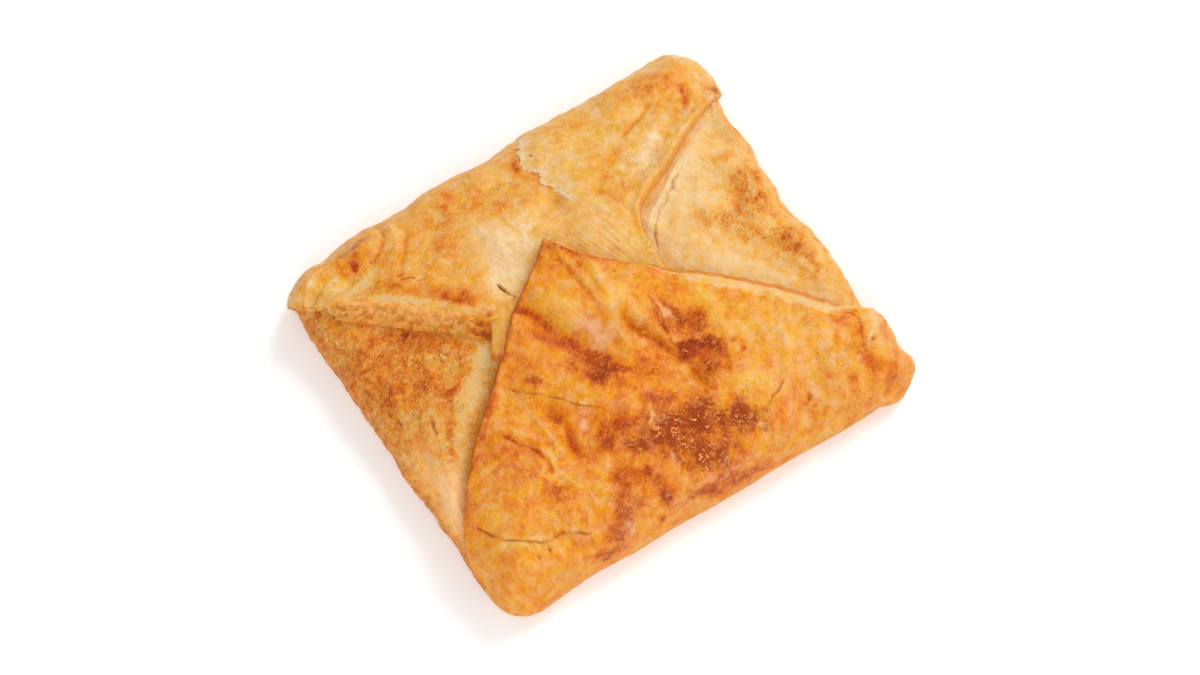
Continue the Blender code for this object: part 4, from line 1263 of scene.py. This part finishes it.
def pale_strip(block, cell):
    """The pale end of the back fold, hanging beside the front fold."""
    s, t = grid_between(STRIP_SPAN, cell)
    waver = 0.35 * ripple(t * 9.0, 225) * (1.0 - s)
    u, v = across_folds(STRIP_LEFT, STRIP_RIGHT, np.clip(s + 0.05 * waver, -0.05, 1.0), t)
    fine, dark = fine_relief(u, v, (), BACK_CRACKS, (), 111)
    combed = rough(s * 7.0, t * 2.0, 226, 3)
    level = back_lift(block, u, v) + 0.25 - 1.6 * (1.0 - smooth(0.0, 0.28, t)) - 2.6 * smooth(0.42, 1.0, t)
    level = level - 0.9 * np.exp(-s / 0.08)
    lift = level + relief(u, v, BACK_SWELLS, BACK_CREASES) + 0.22 * rough(u / 3.0, v / 3.0, 221, 3) + fine
    lift += 0.25 * combed
    mottle = 0.06 * rough(u / 2.5, v / 2.5, 222, 4)
    fields = {
        "bake": 0.41 + mottle + 0.09 * combed + 0.24 * smooth(0.9, 1.0, t),
        "scorch": 0.0,
        "dark": dark,
        "raw": 0.05,
        "wash": 0.25,
        "flaky": 0.1,
        "film_and_glint": np.minimum(0.35 + 0.4 * rough(u / 2.4, v / 2.4, 227, 3), 1.0),
    }
    return sheet("pale_strip", block, u, v, lift, fields, depth=3.0)


def side_fold(name, block, cell, start, end):
    """A side fold and its wall: the block's own surface between two places across it."""
    half_v = block.inner_v + block.reach
    u, v = np.meshgrid(np.arange(start, end, cell), np.arange(-half_v, half_v + cell, cell))
    u, v, ring, out = block.ringed(u, v)
    fade = 1.0 - smooth(block.arc, block.reach, ring)
    keep = 0.25 + 0.75 * fade
    on_wall = smooth(0.0, block.arc, out)
    left = u < 0.0
    tables = (SIDE_FINE, SIDE_CRACKS, SIDE_PITS, SIDE_PATCHES, SIDE_STAINS)
    fine, dark, bake, stain, scorch = drawn(u, v, tables, 300)
    recess = smooth(-0.06, -0.22, bake)
    leaf, leaf_rim_glint, leaf_painted_shade = leaves(u, v, 4.5 if end < 0.0 else 7.0, 331, 3.0)
    flake, flake_rim_glint, flake_painted_shade = flaked(u, v, 2.4, 333)
    pulled = zone(u, v, *PULLED_ZONE)
    tangle = np.where(left, 0.75, np.clip(0.20 + 3.0 * bake, 0.0, 0.9)) * (1.0 - 0.5 * recess)
    flaky = np.clip(tangle + 0.3 * waves(u / 8.0, v / 8.0, 335), 0.0, 1.0) * (1.0 - 0.4 * recess)
    flaky = flaky * (1.0 - 0.7 * pulled)

    # Relief: lines where the dough was pulled, torn leaves, and the way the wall falls
    swing_over = 0.5 * waves(u / 7.0, v / 7.0, 383)
    lines = rough((u - 0.15 * v) / 0.8 + swing_over, (v + 0.15 * u) / 12.0, 384, 3)
    fall = rough((v + 0.25 * u) / 1.6, (u - 0.25 * v) / 14.0, 381, 3) * on_wall
    height = relief(u, v, BLOCK_SWELLS, BLOCK_CREASES) * fade
    height += 0.40 * lines * pulled * keep
    skin = 1.2 * fine + np.where(left, 0.34, 0.24) * leaf + 0.26 * rough(u / 6.0, v / 6.0, 351, 4)
    height += skin * keep
    height += 0.05 * waves(u, v, 352) + 0.28 * flake * flaky * keep
    height += 0.14 * fall * keep * (1.0 - pulled)

    # Browning of the skin, paler in the recesses and where the dough was pulled, browner in the grooves from
    # pooled egg wash and partly painted shade
    mottle = 0.07 * rough(u / 4.4, v / 4.4, 371, 3) + 0.06 * dabs(u, v, 2.8, 373)
    base = np.where(left, 0.54 + 0.06 * on_wall, 0.33 + 0.15 * on_wall)
    bake = base + bake + stain + mottle * (1.0 - 0.5 * recess) + 0.06 * leaf - 0.07 * fine + 0.05 * fall
    # Painted shade beside the torn leaves and flakes, and lighter rims that are partly a painted highlight
    curled = (0.06 * leaf_painted_shade - 0.08 * leaf_rim_glint) * (1.0 - 0.6 * recess)
    bake += (0.10 * flake_painted_shade - 0.15 * flake_rim_glint) * flaky + curled
    bake += 0.07 * streaks(u, v, 48.0, 0.9, 8.0, 399) * recess
    # The pulled dough is paler, and lighter still towards the table: partly painted light on the wall that
    # faces away from the lamps
    bake += (0.16 * lines - 0.12 - 0.10 * smooth(-26.0, -35.0, v)) * pulled
    pale = smooth(0.45, 0.2, bake) * (1.0 - 0.85 * pulled)
    olive = zone(u, v, *OLIVE_ZONE)
    film_and_glint = 0.40 + np.where(left, 0.42, 0.48) * rough(u / 3.0, v / 3.0, 397, 2)
    film_and_glint = film_and_glint + 0.3 * pale + 0.3 * flake_rim_glint * flaky + 0.35 * pulled
    fields = {
        "bake": bake,
        "scorch": scorch,
        "dark": 0.6 * dark,
        "raw": 0.40 * pale + np.where(left, 0.35, 0.0) * pale + 0.5 * olive,
        "wash": 0.5 + 0.3 * rough(u / 8.0, v / 8.0, 395, 2) - 0.3 * pale,
        "flaky": flaky,
        "film_and_glint": np.minimum(film_and_glint, 1.4),
        # Bright torn crumb, painted light on the pale wall and on the pulled dough
        "lit_crumb": 0.5 * pale * on_wall * left + 0.34 * pulled,
    }
    return sheet(name, block, u, v, height, fields)


def sole(block):
    """The inner block under the folds, with the flat baked underside."""
    half_u = block.inner_u + block.reach
    half_v = block.inner_v + block.reach
    u, v = np.meshgrid(np.arange(-half_u, half_u + SOLE_CELL, SOLE_CELL),
                       np.arange(-half_v, half_v + SOLE_CELL, SOLE_CELL))
    rows, columns = u.shape
    u, v, _, out = block.ringed(u, v)
    x, y, z = block.lay(u, v, -SOLE_DEPTH + SOLE_RISE * smooth(0.0, block.arc, out))
    points = np.stack((x, y, np.maximum(z, 0.0)), axis=-1).reshape(-1, 3) * MM
    quads = off_table(grid_quads(rows, columns), points[:, 2])
    bm = bmesh.new()
    verts = [bm.verts.new(point) for point in points.tolist()]
    for quad in quads.tolist():
        bm.faces.new([verts[k] for k in quad])
    loose = [vert for vert in bm.verts if not vert.link_faces]
    bmesh.ops.delete(bm, geom=loose, context="VERTS")
    rim = [edge for edge in bm.edges if edge.is_boundary]
    for _ in range(SOLE_RINGS):
        grown = bmesh.ops.extrude_edge_only(bm, edges=rim)
        rim = [item for item in grown["geom"] if isinstance(item, bmesh.types.BMEdge)]
        for vert in {vert for edge in rim for vert in edge.verts}:
            vert.co.x *= SOLE_SHRINK
            vert.co.y *= SOLE_SHRINK
            vert.co.z = 0.0
    bmesh.ops.contextual_create(bm, geom=rim)
    bmesh.ops.recalc_face_normals(bm, faces=bm.faces)
    mesh = bpy.data.meshes.new("baked_sole")
    bm.to_mesh(mesh)
    bm.free()
    mesh.shade_smooth()
    return put("baked_sole", mesh)


def opaque(colour):
    """A colour with its alpha."""
    return tuple(colour) + (1.0,)


def linear(colour):
    """A colour in display values from 0 to 255 as the shader's linear values."""
    parts = [c / 255.0 for c in colour]
    return [p / 12.92 if p <= 0.04045 else ((p + 0.055) / 1.055) ** 2.4 for p in parts] + [1.0]


class Graph:
    """A material's nodes, added and linked by name."""

    def __init__(self, name):
        self.material = bpy.data.materials.new(name)
        self.material.use_nodes = True
        self.nodes = self.material.node_tree.nodes
        self.links = self.material.node_tree.links
        self.shader = self.nodes["Principled BSDF"]

    def add(self, kind, label, **settings):
        """A new node with its settings."""
        node = self.nodes.new("ShaderNode" + kind)
        node.label = label
        for key, value in settings.items():
            setattr(node, key, value)
        return node

    def feed(self, node, **inputs):
        """Set a node's sockets, named or numbered as in i0: a value is kept, a socket is linked."""
        for key, value in inputs.items():
            socket = node.inputs[int(key[1:])] if key[1:].isdigit() else node.inputs[key.replace("_", " ")]
            if isinstance(value, bpy.types.NodeSocket):
                self.links.new(value, socket)
            else:
                socket.default_value = value
        return node

    def number(self, field):
        """A number kept on the points of the mesh."""
        return self.add("Attribute", field, attribute_name=field).outputs["Fac"]

    def maths(self, operation, first, second, label="", clamp=False):
        """The outcome of a sum, a product or the like."""
        node = self.add("Math", label or operation.lower(), operation=operation, use_clamp=clamp)
        return self.feed(node, i0=first, i1=second).outputs[0]

    def noise(self, where, scale, detail, label, roughness=0.6, warp=0.0):
        """Noise in the solid, from 0 to 1."""
        node = self.add("TexNoise", label)
        self.feed(node, Vector=where, Scale=scale, Detail=detail, Roughness=roughness, Distortion=warp)
        return node.outputs["Fac"]

    def blend(self, share, first, second, label, kind="MIX"):
        """Two colours mixed, or the second one added."""
        node = self.add("Mix", label, data_type="RGBA", blend_type=kind)
        return self.feed(node, i0=share, i6=first, i7=second).outputs[2]

    def baking(self, level, stops):
        """The colour of a level of baking, from colours at their places."""
        node = self.add("ValToRGB", "baking colours")
        self.feed(node, Fac=level)
        places = node.color_ramp.elements
        while len(places) < len(stops):
            places.new(0.5)
        for place, (at, shade) in zip(places, stops):
            place.position = at
            place.color = opaque(shade)
        return node.outputs["Color"]

    def raise_skin(self, height, strength, distance):
        """Let a height stand out from the surface."""
        node = self.add("Bump", "skin relief")
        self.feed(node, Strength=strength, Distance=distance, Height=height)
        self.feed(self.shader, Normal=node.outputs["Normal"])


def torn_rims(g, where, scale, width, label):
    """Thin broken lines where the skin has torn: the light rim, partly a painted highlight, and the painted
    shade beside it.
    """
    level = g.noise(where, scale, 2.0, label, 0.5, 1.2)
    kept = g.add("MapRange", "unbroken")
    g.feed(kept, Value=g.noise(where, scale * 1.27, 1.0, "breaks"), From_Min=0.49, From_Max=0.56)
    sides = []
    for side, middle in (("rim", 0.5), ("shade", 0.5 - 1.6 * width)):
        gap = g.maths("ABSOLUTE", g.maths("SUBTRACT", level, middle), 0.0)
        line = g.add("MapRange", side)
        g.feed(line, Value=gap, From_Min=0.0, From_Max=width, To_Min=1.0, To_Max=0.0)
        sides.append(g.maths("MULTIPLY", line.outputs[0], kept.outputs[0], label + " " + side))
    return sides


def blotches(g, where, scale, low, high, label):
    """Crisp patches where a noise rises over a level, from 0 to 1."""
    patch = g.add("MapRange", label, interpolation_type="SMOOTHSTEP")
    g.feed(patch, Value=g.noise(where, scale, 3.0, label, 0.5), From_Min=low, From_Max=high)
    return patch.outputs[0]


def swing(g, noise, amount):
    """A noise as a swing to both sides of zero."""
    return g.maths("MULTIPLY", g.maths("SUBTRACT", noise, 0.5), amount)


def summed(g, parts):
    """The sum of numbers, each times its own amount."""
    total = None
    for value, amount in parts:
        term = g.maths("MULTIPLY", value, amount)
        total = term if total is None else g.maths("ADD", total, term)
    return total


def crust_finish(colours):
    """Egg-washed puff pastry, from pale dough through gold to scorched brown."""
    g = Graph("egg_washed_crust")
    where = g.add("TexCoord", "place").outputs["Object"]
    cloud = g.noise(where, 300.0, 3.0, "cloud", 0.5)
    speckle = g.noise(where, 900.0, 3.0, "speckle", 0.5)
    grain = g.noise(where, 2600.0, 2.0, "grain")
    rim, shade = torn_rims(g, where, 430.0, 0.06, "curls")
    small_rim_glint, small_painted_shade = torn_rims(g, where, 980.0, 0.07, "small curls")
    light = blotches(g, where, 480.0, 0.545, 0.585, "light flakes")
    fine = blotches(g, where, 1200.0, 0.56, 0.62, "fine flakes")
    gaps = blotches(g, where, 560.0, 0.56, 0.64, "gaps")

    # Browning: the number on the points, uneven, and changed flake by flake, with partly painted highlight
    # on the light rims and painted shade beside them
    flaky = g.number("flaky")
    torn = g.maths("MAXIMUM", rim, g.maths("MULTIPLY", small_rim_glint, 0.5))
    flakes = g.maths("MULTIPLY", torn, flaky, "flakes")
    painted_shades = g.maths("MAXIMUM", shade, small_painted_shade)
    change = summed(g, ((torn, -0.20), (painted_shades, 0.15), (light, -0.08), (fine, -0.05), (gaps, 0.08)))
    uneven = g.maths("ADD", swing(g, cloud, 0.14), swing(g, grain, 0.08), "unevenness")
    baked = g.maths("ADD", g.number("bake"), g.maths("ADD", uneven, g.maths("MULTIPLY", change, flaky)))
    level = g.maths("ADD", baked, swing(g, speckle, 0.09), "browning", clamp=True)
    crust = g.baking(level, (
        (0.0, colours.pale), (0.20, colours.cream), (0.34, colours.straw), (0.46, colours.golden),
        (0.56, colours.amber), (0.67, colours.brown), (0.80, colours.russet), (1.0, colours.burnt)))

    # Milky skin, torn crumb brightened as painted light, raw dough, and blister skin with painted highlights
    haze = g.noise(where, 410.0, 2.0, "haze")
    film_and_glint = g.maths("ADD", g.number("film_and_glint"), swing(g, haze, 0.85), "milkiness")
    milk = g.maths("MINIMUM", g.maths("MAXIMUM", film_and_glint, 0.0), 1.0)
    unbaked = g.maths("POWER", g.maths("SUBTRACT", 1.22, level), 3.4)
    skin = g.blend(g.maths("MULTIPLY", milk, unbaked), crust, MILKINESS, "milky skin", "ADD")
    skin = g.blend(g.number("lit_crumb"), skin, opaque(colours.lit_crumb), "torn crumb")
    skin = g.blend(g.number("raw"), skin, opaque(colours.raw), "raw dough")
    # Where the milkiness passes 1: blister skin and pink-white painted highlights
    blister_and_glint = g.maths("MULTIPLY", g.maths("SUBTRACT", film_and_glint, 1.0, clamp=True), 0.8)
    skin = g.blend(blister_and_glint, skin, opaque(colours.blister_and_glint), "blister skin")

    # Scorch, the light curls on it, which are partly a painted highlight, and the cracks
    spread = g.maths("SUBTRACT", summed(g, ((speckle, 0.6), (cloud, 1.3))), 0.95)
    burnt = g.add("MapRange", "scorch amount", interpolation_type="SMOOTHSTEP")
    amount = g.maths("ADD", g.number("scorch"), spread)
    g.feed(burnt, Value=amount, From_Min=0.12, From_Max=0.86, To_Max=0.98)
    scorched = g.maths("SUBTRACT", burnt.outputs[0], g.maths("MULTIPLY", blister_and_glint, 0.7), clamp=True)
    skin = g.blend(scorched, skin, opaque(colours.scorch), "scorched")
    reach = g.maths("POWER", scorched, 0.55)
    curls = g.maths("MULTIPLY", g.maths("MULTIPLY", rim, flaky), reach)
    curls = g.maths("MULTIPLY", curls, 1.2, "curls on scorch", True)
    skin = g.blend(curls, skin, opaque(colours.curl), "curled")
    skin = g.blend(g.maths("MULTIPLY", g.number("dark"), 0.80), skin, opaque(colours.crack), "cracks")
    g.feed(g.shader, Base_Color=skin)

    # Gloss of the egg wash, duller on the flakes, and the relief of the skin
    wash = g.maths("MULTIPLY_ADD", g.number("wash"), -0.18, "washed")
    g.feed(wash.node, i2=0.56)
    sheen = g.maths("ADD", wash, swing(g, grain, 0.30))
    g.feed(g.shader, Roughness=g.maths("SUBTRACT", sheen, g.maths("MULTIPLY", flakes, 0.12), "gloss"))
    relief_of_flakes = summed(g, ((torn, 0.55), (light, 0.45), (fine, 0.25), (gaps, -0.35)))
    bumps = summed(g, ((speckle, 0.45), (grain, 0.16)))
    height = g.maths("ADD", bumps, g.maths("MULTIPLY", relief_of_flakes, flaky), "skin height")
    g.raise_skin(height, 0.85, 0.0005)
    g.feed(g.shader, Subsurface_Weight=0.06, Subsurface_Radius=(1.0, 0.45, 0.18), Subsurface_Scale=0.0012,
           Specular_IOR_Level=0.15)
    return g.material


def sole_finish(colours):
    """The drier, darker underside that stood on the baking sheet."""
    g = Graph("toasted_sole")
    where = g.add("TexCoord", "place").outputs["Object"]
    cloud = g.noise(where, 70.0, 6.0, "toasting")
    speckle = g.noise(where, 700.0, 4.0, "speckle")
    level = g.maths("ADD", g.maths("MULTIPLY", cloud, 0.8), g.maths("MULTIPLY", speckle, 0.3), "level")
    crust = g.baking(level, ((0.30, colours.straw), (0.50, colours.amber), (0.66, colours.brown),
                             (0.85, colours.russet)))
    g.feed(g.shader, Base_Color=crust, Roughness=0.62)
    g.raise_skin(speckle, 0.6, 0.0004)
    return g.material


def finish_named(name, make, colours):
    """The finish of that name, made once."""
    return bpy.data.materials.get(name) or make(colours)


def length_setting(label, about, size):
    """A length that the panel shows, in metres."""
    return FloatProperty(name=label, description=about, default=size, min=0.0, unit="LENGTH",
                         subtype="DISTANCE")


def angle_setting(label, about, degrees):
    """An angle that the panel shows."""
    return FloatProperty(name=label, description=about, default=math.radians(degrees), unit="ROTATION",
                         subtype="ANGLE")


def colour_setting(label, about, shade):
    """A colour that the panel shows, given in display values from 0 to 255."""
    return FloatVectorProperty(name=label, description=about, default=linear(shade)[:3], size=3,
                               min=0.0, max=1.0, subtype="COLOR")


class KhachapuriSizes(bpy.types.PropertyGroup):
    """Sizes of the pastry"""

    block_length: length_setting("Block length", "Length of the filled block", 0.141)
    block_width: length_setting("Block width", "Width of the filled block", 0.125)
    shoulder_radius: length_setting("Shoulder radius", "Rounding between the top and the walls", 0.013)
    shoulder_height: length_setting("Shoulder height", "Height of the block at its shoulders", 0.018)
    crown: length_setting("Crown", "How much the middle rises above the shoulders", 0.006)
    tuck: length_setting("Tuck", "How far the walls draw in under the shoulders", 0.0025)
    flap_thickness: length_setting("Fold thickness", "Thickness of a folded corner", 0.0055)
    cell: length_setting("Cell", "Size of the grid cells of the folds", 0.00038)


class KhachapuriColours(bpy.types.PropertyGroup):
    """Colours of the crust, from raw to scorched, and of the floor"""

    raw: colour_setting("Raw dough", "Pale dough that lay covered in the oven", (207, 175, 112))
    pale: colour_setting("Pale crust", "Barely baked crust", (226, 194, 112))
    cream: colour_setting("Cream crust", "Lightly baked crust", (221, 175, 79))
    straw: colour_setting("Straw crust", "Crust of a straw colour", (218, 162, 54))
    golden: colour_setting("Golden crust", "Golden crust", (216, 148, 34))
    amber: colour_setting("Amber crust", "Well baked crust", (213, 129, 15))
    brown: colour_setting("Brown crust", "Browned crust", (200, 103, 4))
    russet: colour_setting("Russet crust", "Dark red-brown crust", (169, 66, 1))
    burnt: colour_setting("Burnt crust", "Darkest specks", (123, 38, 1))
    scorch: colour_setting("Scorched skin", "Red-brown skin of burst blisters", (152, 59, 11))
    # Brighter than real crumb: painted light for walls that the lamps light less
    lit_crumb: colour_setting("Torn crumb", "Fresh crumb where a fold has torn", (250, 168, 84))
    crack: colour_setting("Cracks", "Depth of the cracks", (158, 58, 0))
    # Also the colour of the pink-white painted highlights
    blister_and_glint: colour_setting("Blister skin", "Milky skin over a blister", (224, 167, 121))
    # Curled skin on the light rims, partly a painted highlight
    curl: colour_setting("Curled skin", "Light curls of skin on scorched places", (246, 160, 84))
    floor: colour_setting("Floor", "Plain pale floor", (252, 252, 252))


class KhachapuriStage(bpy.types.PropertyGroup):
    """Camera and lights of the photo"""

    distance: length_setting("Camera distance", "From the camera to the pastry", 1.2)
    azimuth: angle_setting("Azimuth", "Way round to the camera", -31.0)
    elevation: angle_setting("Elevation", "Height of the camera's view", 70.0)
    lens: FloatProperty(name="Lens", description="Focal length in mm for a sensor 36 mm wide", default=123.1)
    key_power: FloatProperty(name="Key light", description="Power of the large overhead light",
                             default=15.2, unit="POWER")
    sky: FloatProperty(name="Sky light", description="Strength of the light from all round", default=0.95)
    overhead: FloatProperty(name="Overhead light", description="Strength of the light from above",
                            default=0.45)


class KhachapuriStep(bpy.types.Operator):
    """A step in making the pastry"""

    bl_options = {"REGISTER", "UNDO"}

    def block(self, context):
        """The block in the sizes that are set."""
        return Block(context.scene.khachapuri_sizes)

    def cell(self, context):
        """The usual cell of a fold's grid, in millimetres."""
        return context.scene.khachapuri_sizes.cell / MM

    def crust(self, context):
        """The finish of the folds."""
        return finish_named("egg_washed_crust", crust_finish, context.scene.khachapuri_colours)


class KHACHAPURI_OT_sole(KhachapuriStep):
    """Make the inner block with the flat underside"""

    bl_idname = "khachapuri.make_sole"
    bl_label = "Sole"

    def execute(self, context):
        colours = context.scene.khachapuri_colours
        settle(sole(self.block(context)), finish_named("toasted_sole", sole_finish, colours))
        return {"FINISHED"}


class KHACHAPURI_OT_side_folds(KhachapuriStep):
    """Make the left and right folds with their walls"""

    bl_idname = "khachapuri.make_side_folds"
    bl_label = "Side folds"

    def execute(self, context):
        block = self.block(context)
        far = block.inner_u + block.reach
        cell = self.cell(context)
        settle(side_fold("left_fold", block, cell, -far, LEFT_FOLD_END), self.crust(context))
        settle(side_fold("right_fold", block, cell, RIGHT_FOLD_END, far), self.crust(context))
        return {"FINISHED"}


class KHACHAPURI_OT_back_fold(KhachapuriStep):
    """Make the back fold, its loose crust and its pale end"""

    bl_idname = "khachapuri.make_back_fold"
    bl_label = "Back fold"

    def execute(self, context):
        block = self.block(context)
        cell = self.cell(context)
        settle(back_fold(block, cell * BACK_CELLS), self.crust(context))
        settle(loose_crust(block, cell * LOOSE_CELLS), self.crust(context))
        settle(pale_strip(block, cell * LOOSE_CELLS), self.crust(context))
        return {"FINISHED"}


class KHACHAPURI_OT_front_fold(KhachapuriStep):
    """Make the front fold that lies over the others"""

    bl_idname = "khachapuri.make_front_fold"
    bl_label = "Front fold"

    def execute(self, context):
        settle(front_fold(self.block(context), self.cell(context)), self.crust(context))
        return {"FINISHED"}


def soft_sky(stage):
    """Light from all round, stronger near the horizon than overhead."""
    world = bpy.data.worlds.new("soft_sky")
    world.use_nodes = True
    nodes = world.node_tree.nodes
    links = world.node_tree.links
    place = nodes.new("ShaderNodeTexCoord")
    parts = nodes.new("ShaderNodeSeparateXYZ")
    fading = nodes.new("ShaderNodeMapRange")
    links.new(place.outputs["Generated"], parts.inputs[0])
    links.new(parts.outputs["Z"], fading.inputs["Value"])
    fading.inputs["From Min"].default_value = 0.1
    fading.inputs["From Max"].default_value = 1.0
    fading.inputs["To Min"].default_value = stage.sky
    fading.inputs["To Max"].default_value = stage.overhead
    nodes["Background"].inputs["Color"].default_value = (1.0, 1.0, 1.0, 1.0)
    links.new(fading.outputs["Result"], nodes["Background"].inputs["Strength"])
    return world


def pale_floor(colours):
    """A wide plain floor, which is no part of the pastry."""
    bm = bmesh.new()
    bmesh.ops.create_grid(bm, x_segments=8, y_segments=8, size=FLOOR_HALF)
    mesh = bpy.data.meshes.new("floor")
    bm.to_mesh(mesh)
    bm.free()
    floor = put("floor", mesh)
    paint = Graph("floor_paint")
    paint.feed(paint.shader, Base_Color=opaque(colours.floor), Roughness=0.9)
    mesh.materials.append(paint.material)


def soft_lamps(stage):
    """Large square lamps that face the pastry."""
    for name, place, size, share in LAMPS:
        data = bpy.data.lights.new(name, "AREA")
        data.shape = "SQUARE"
        data.size = size
        data.energy = stage.key_power * share
        lamp = put(name, data)
        lamp.location = place
        lamp.rotation_euler = (-Vector(place)).to_track_quat("-Z", "Y").to_euler()


def photo_camera(stage):
    """The camera, placed as it was for the photo."""
    level = math.cos(stage.elevation)
    back = Vector((math.sin(stage.azimuth) * level, -math.cos(stage.azimuth) * level,
                   math.sin(stage.elevation)))
    right = Vector((math.cos(stage.azimuth), math.sin(stage.azimuth), 0.0))
    turn = Matrix((right, back.cross(right), back)).transposed().to_4x4()
    camera = bpy.data.cameras.new("photo_camera")
    camera.sensor_width = SENSOR_WIDTH
    camera.lens = stage.lens
    eye = put("photo_camera", camera)
    eye.matrix_world = Matrix.Translation(Vector(TARGET) * MM + back * stage.distance) @ turn
    return eye


class KHACHAPURI_OT_stage(KhachapuriStep):
    """Make the floor, the lights and the camera"""

    bl_idname = "khachapuri.make_stage"
    bl_label = "Stage"

    def execute(self, context):
        scene = context.scene
        stage = scene.khachapuri_stage
        scene.view_settings.view_transform = "Standard"
        scene.world = soft_sky(stage)
        pale_floor(scene.khachapuri_colours)
        soft_lamps(stage)
        scene.camera = photo_camera(stage)
        return {"FINISHED"}


STEPS = (KHACHAPURI_OT_sole, KHACHAPURI_OT_side_folds, KHACHAPURI_OT_back_fold, KHACHAPURI_OT_front_fold,
         KHACHAPURI_OT_stage)

GROUPS = (("khachapuri_sizes", KhachapuriSizes, "Sizes"),
          ("khachapuri_colours", KhachapuriColours, "Colours"),
          ("khachapuri_stage", KhachapuriStage, "Stage"))


class KHACHAPURI_PT_panel(bpy.types.Panel):
    """Sizes, colours and steps of the pastry"""

    bl_idname = "KHACHAPURI_PT_panel"
    bl_label = "Khachapuri"
    bl_space_type = "VIEW_3D"
    bl_region_type = "UI"
    bl_category = "Khachapuri"

    def draw(self, context):
        for name, group, title in GROUPS:
            box = self.layout.box()
            box.label(text=title)
            for setting in group.__annotations__:
                box.prop(getattr(context.scene, name), setting)
        for step in STEPS:
            self.layout.operator(step.bl_idname)


def register():
    """Make the settings, the steps and the panel known."""
    for name, group, _ in GROUPS:
        bpy.utils.register_class(group)
        setattr(bpy.types.Scene, name, PointerProperty(type=group))
    for step in STEPS:
        bpy.utils.register_class(step)
    bpy.utils.register_class(KHACHAPURI_PT_panel)


def unregister():
    """Take away what register made known."""
    bpy.utils.unregister_class(KHACHAPURI_PT_panel)
    for step in reversed(STEPS):
        bpy.utils.unregister_class(step)
    for name, group, _ in reversed(GROUPS):
        delattr(bpy.types.Scene, name)
        bpy.utils.unregister_class(group)


def main():
    """Make the whole scene step by step."""
    register()
    for step in STEPS:
        family, name = step.bl_idname.split(".")
        getattr(getattr(bpy.ops, family), name)()


if __name__ == "__main__":
    main()
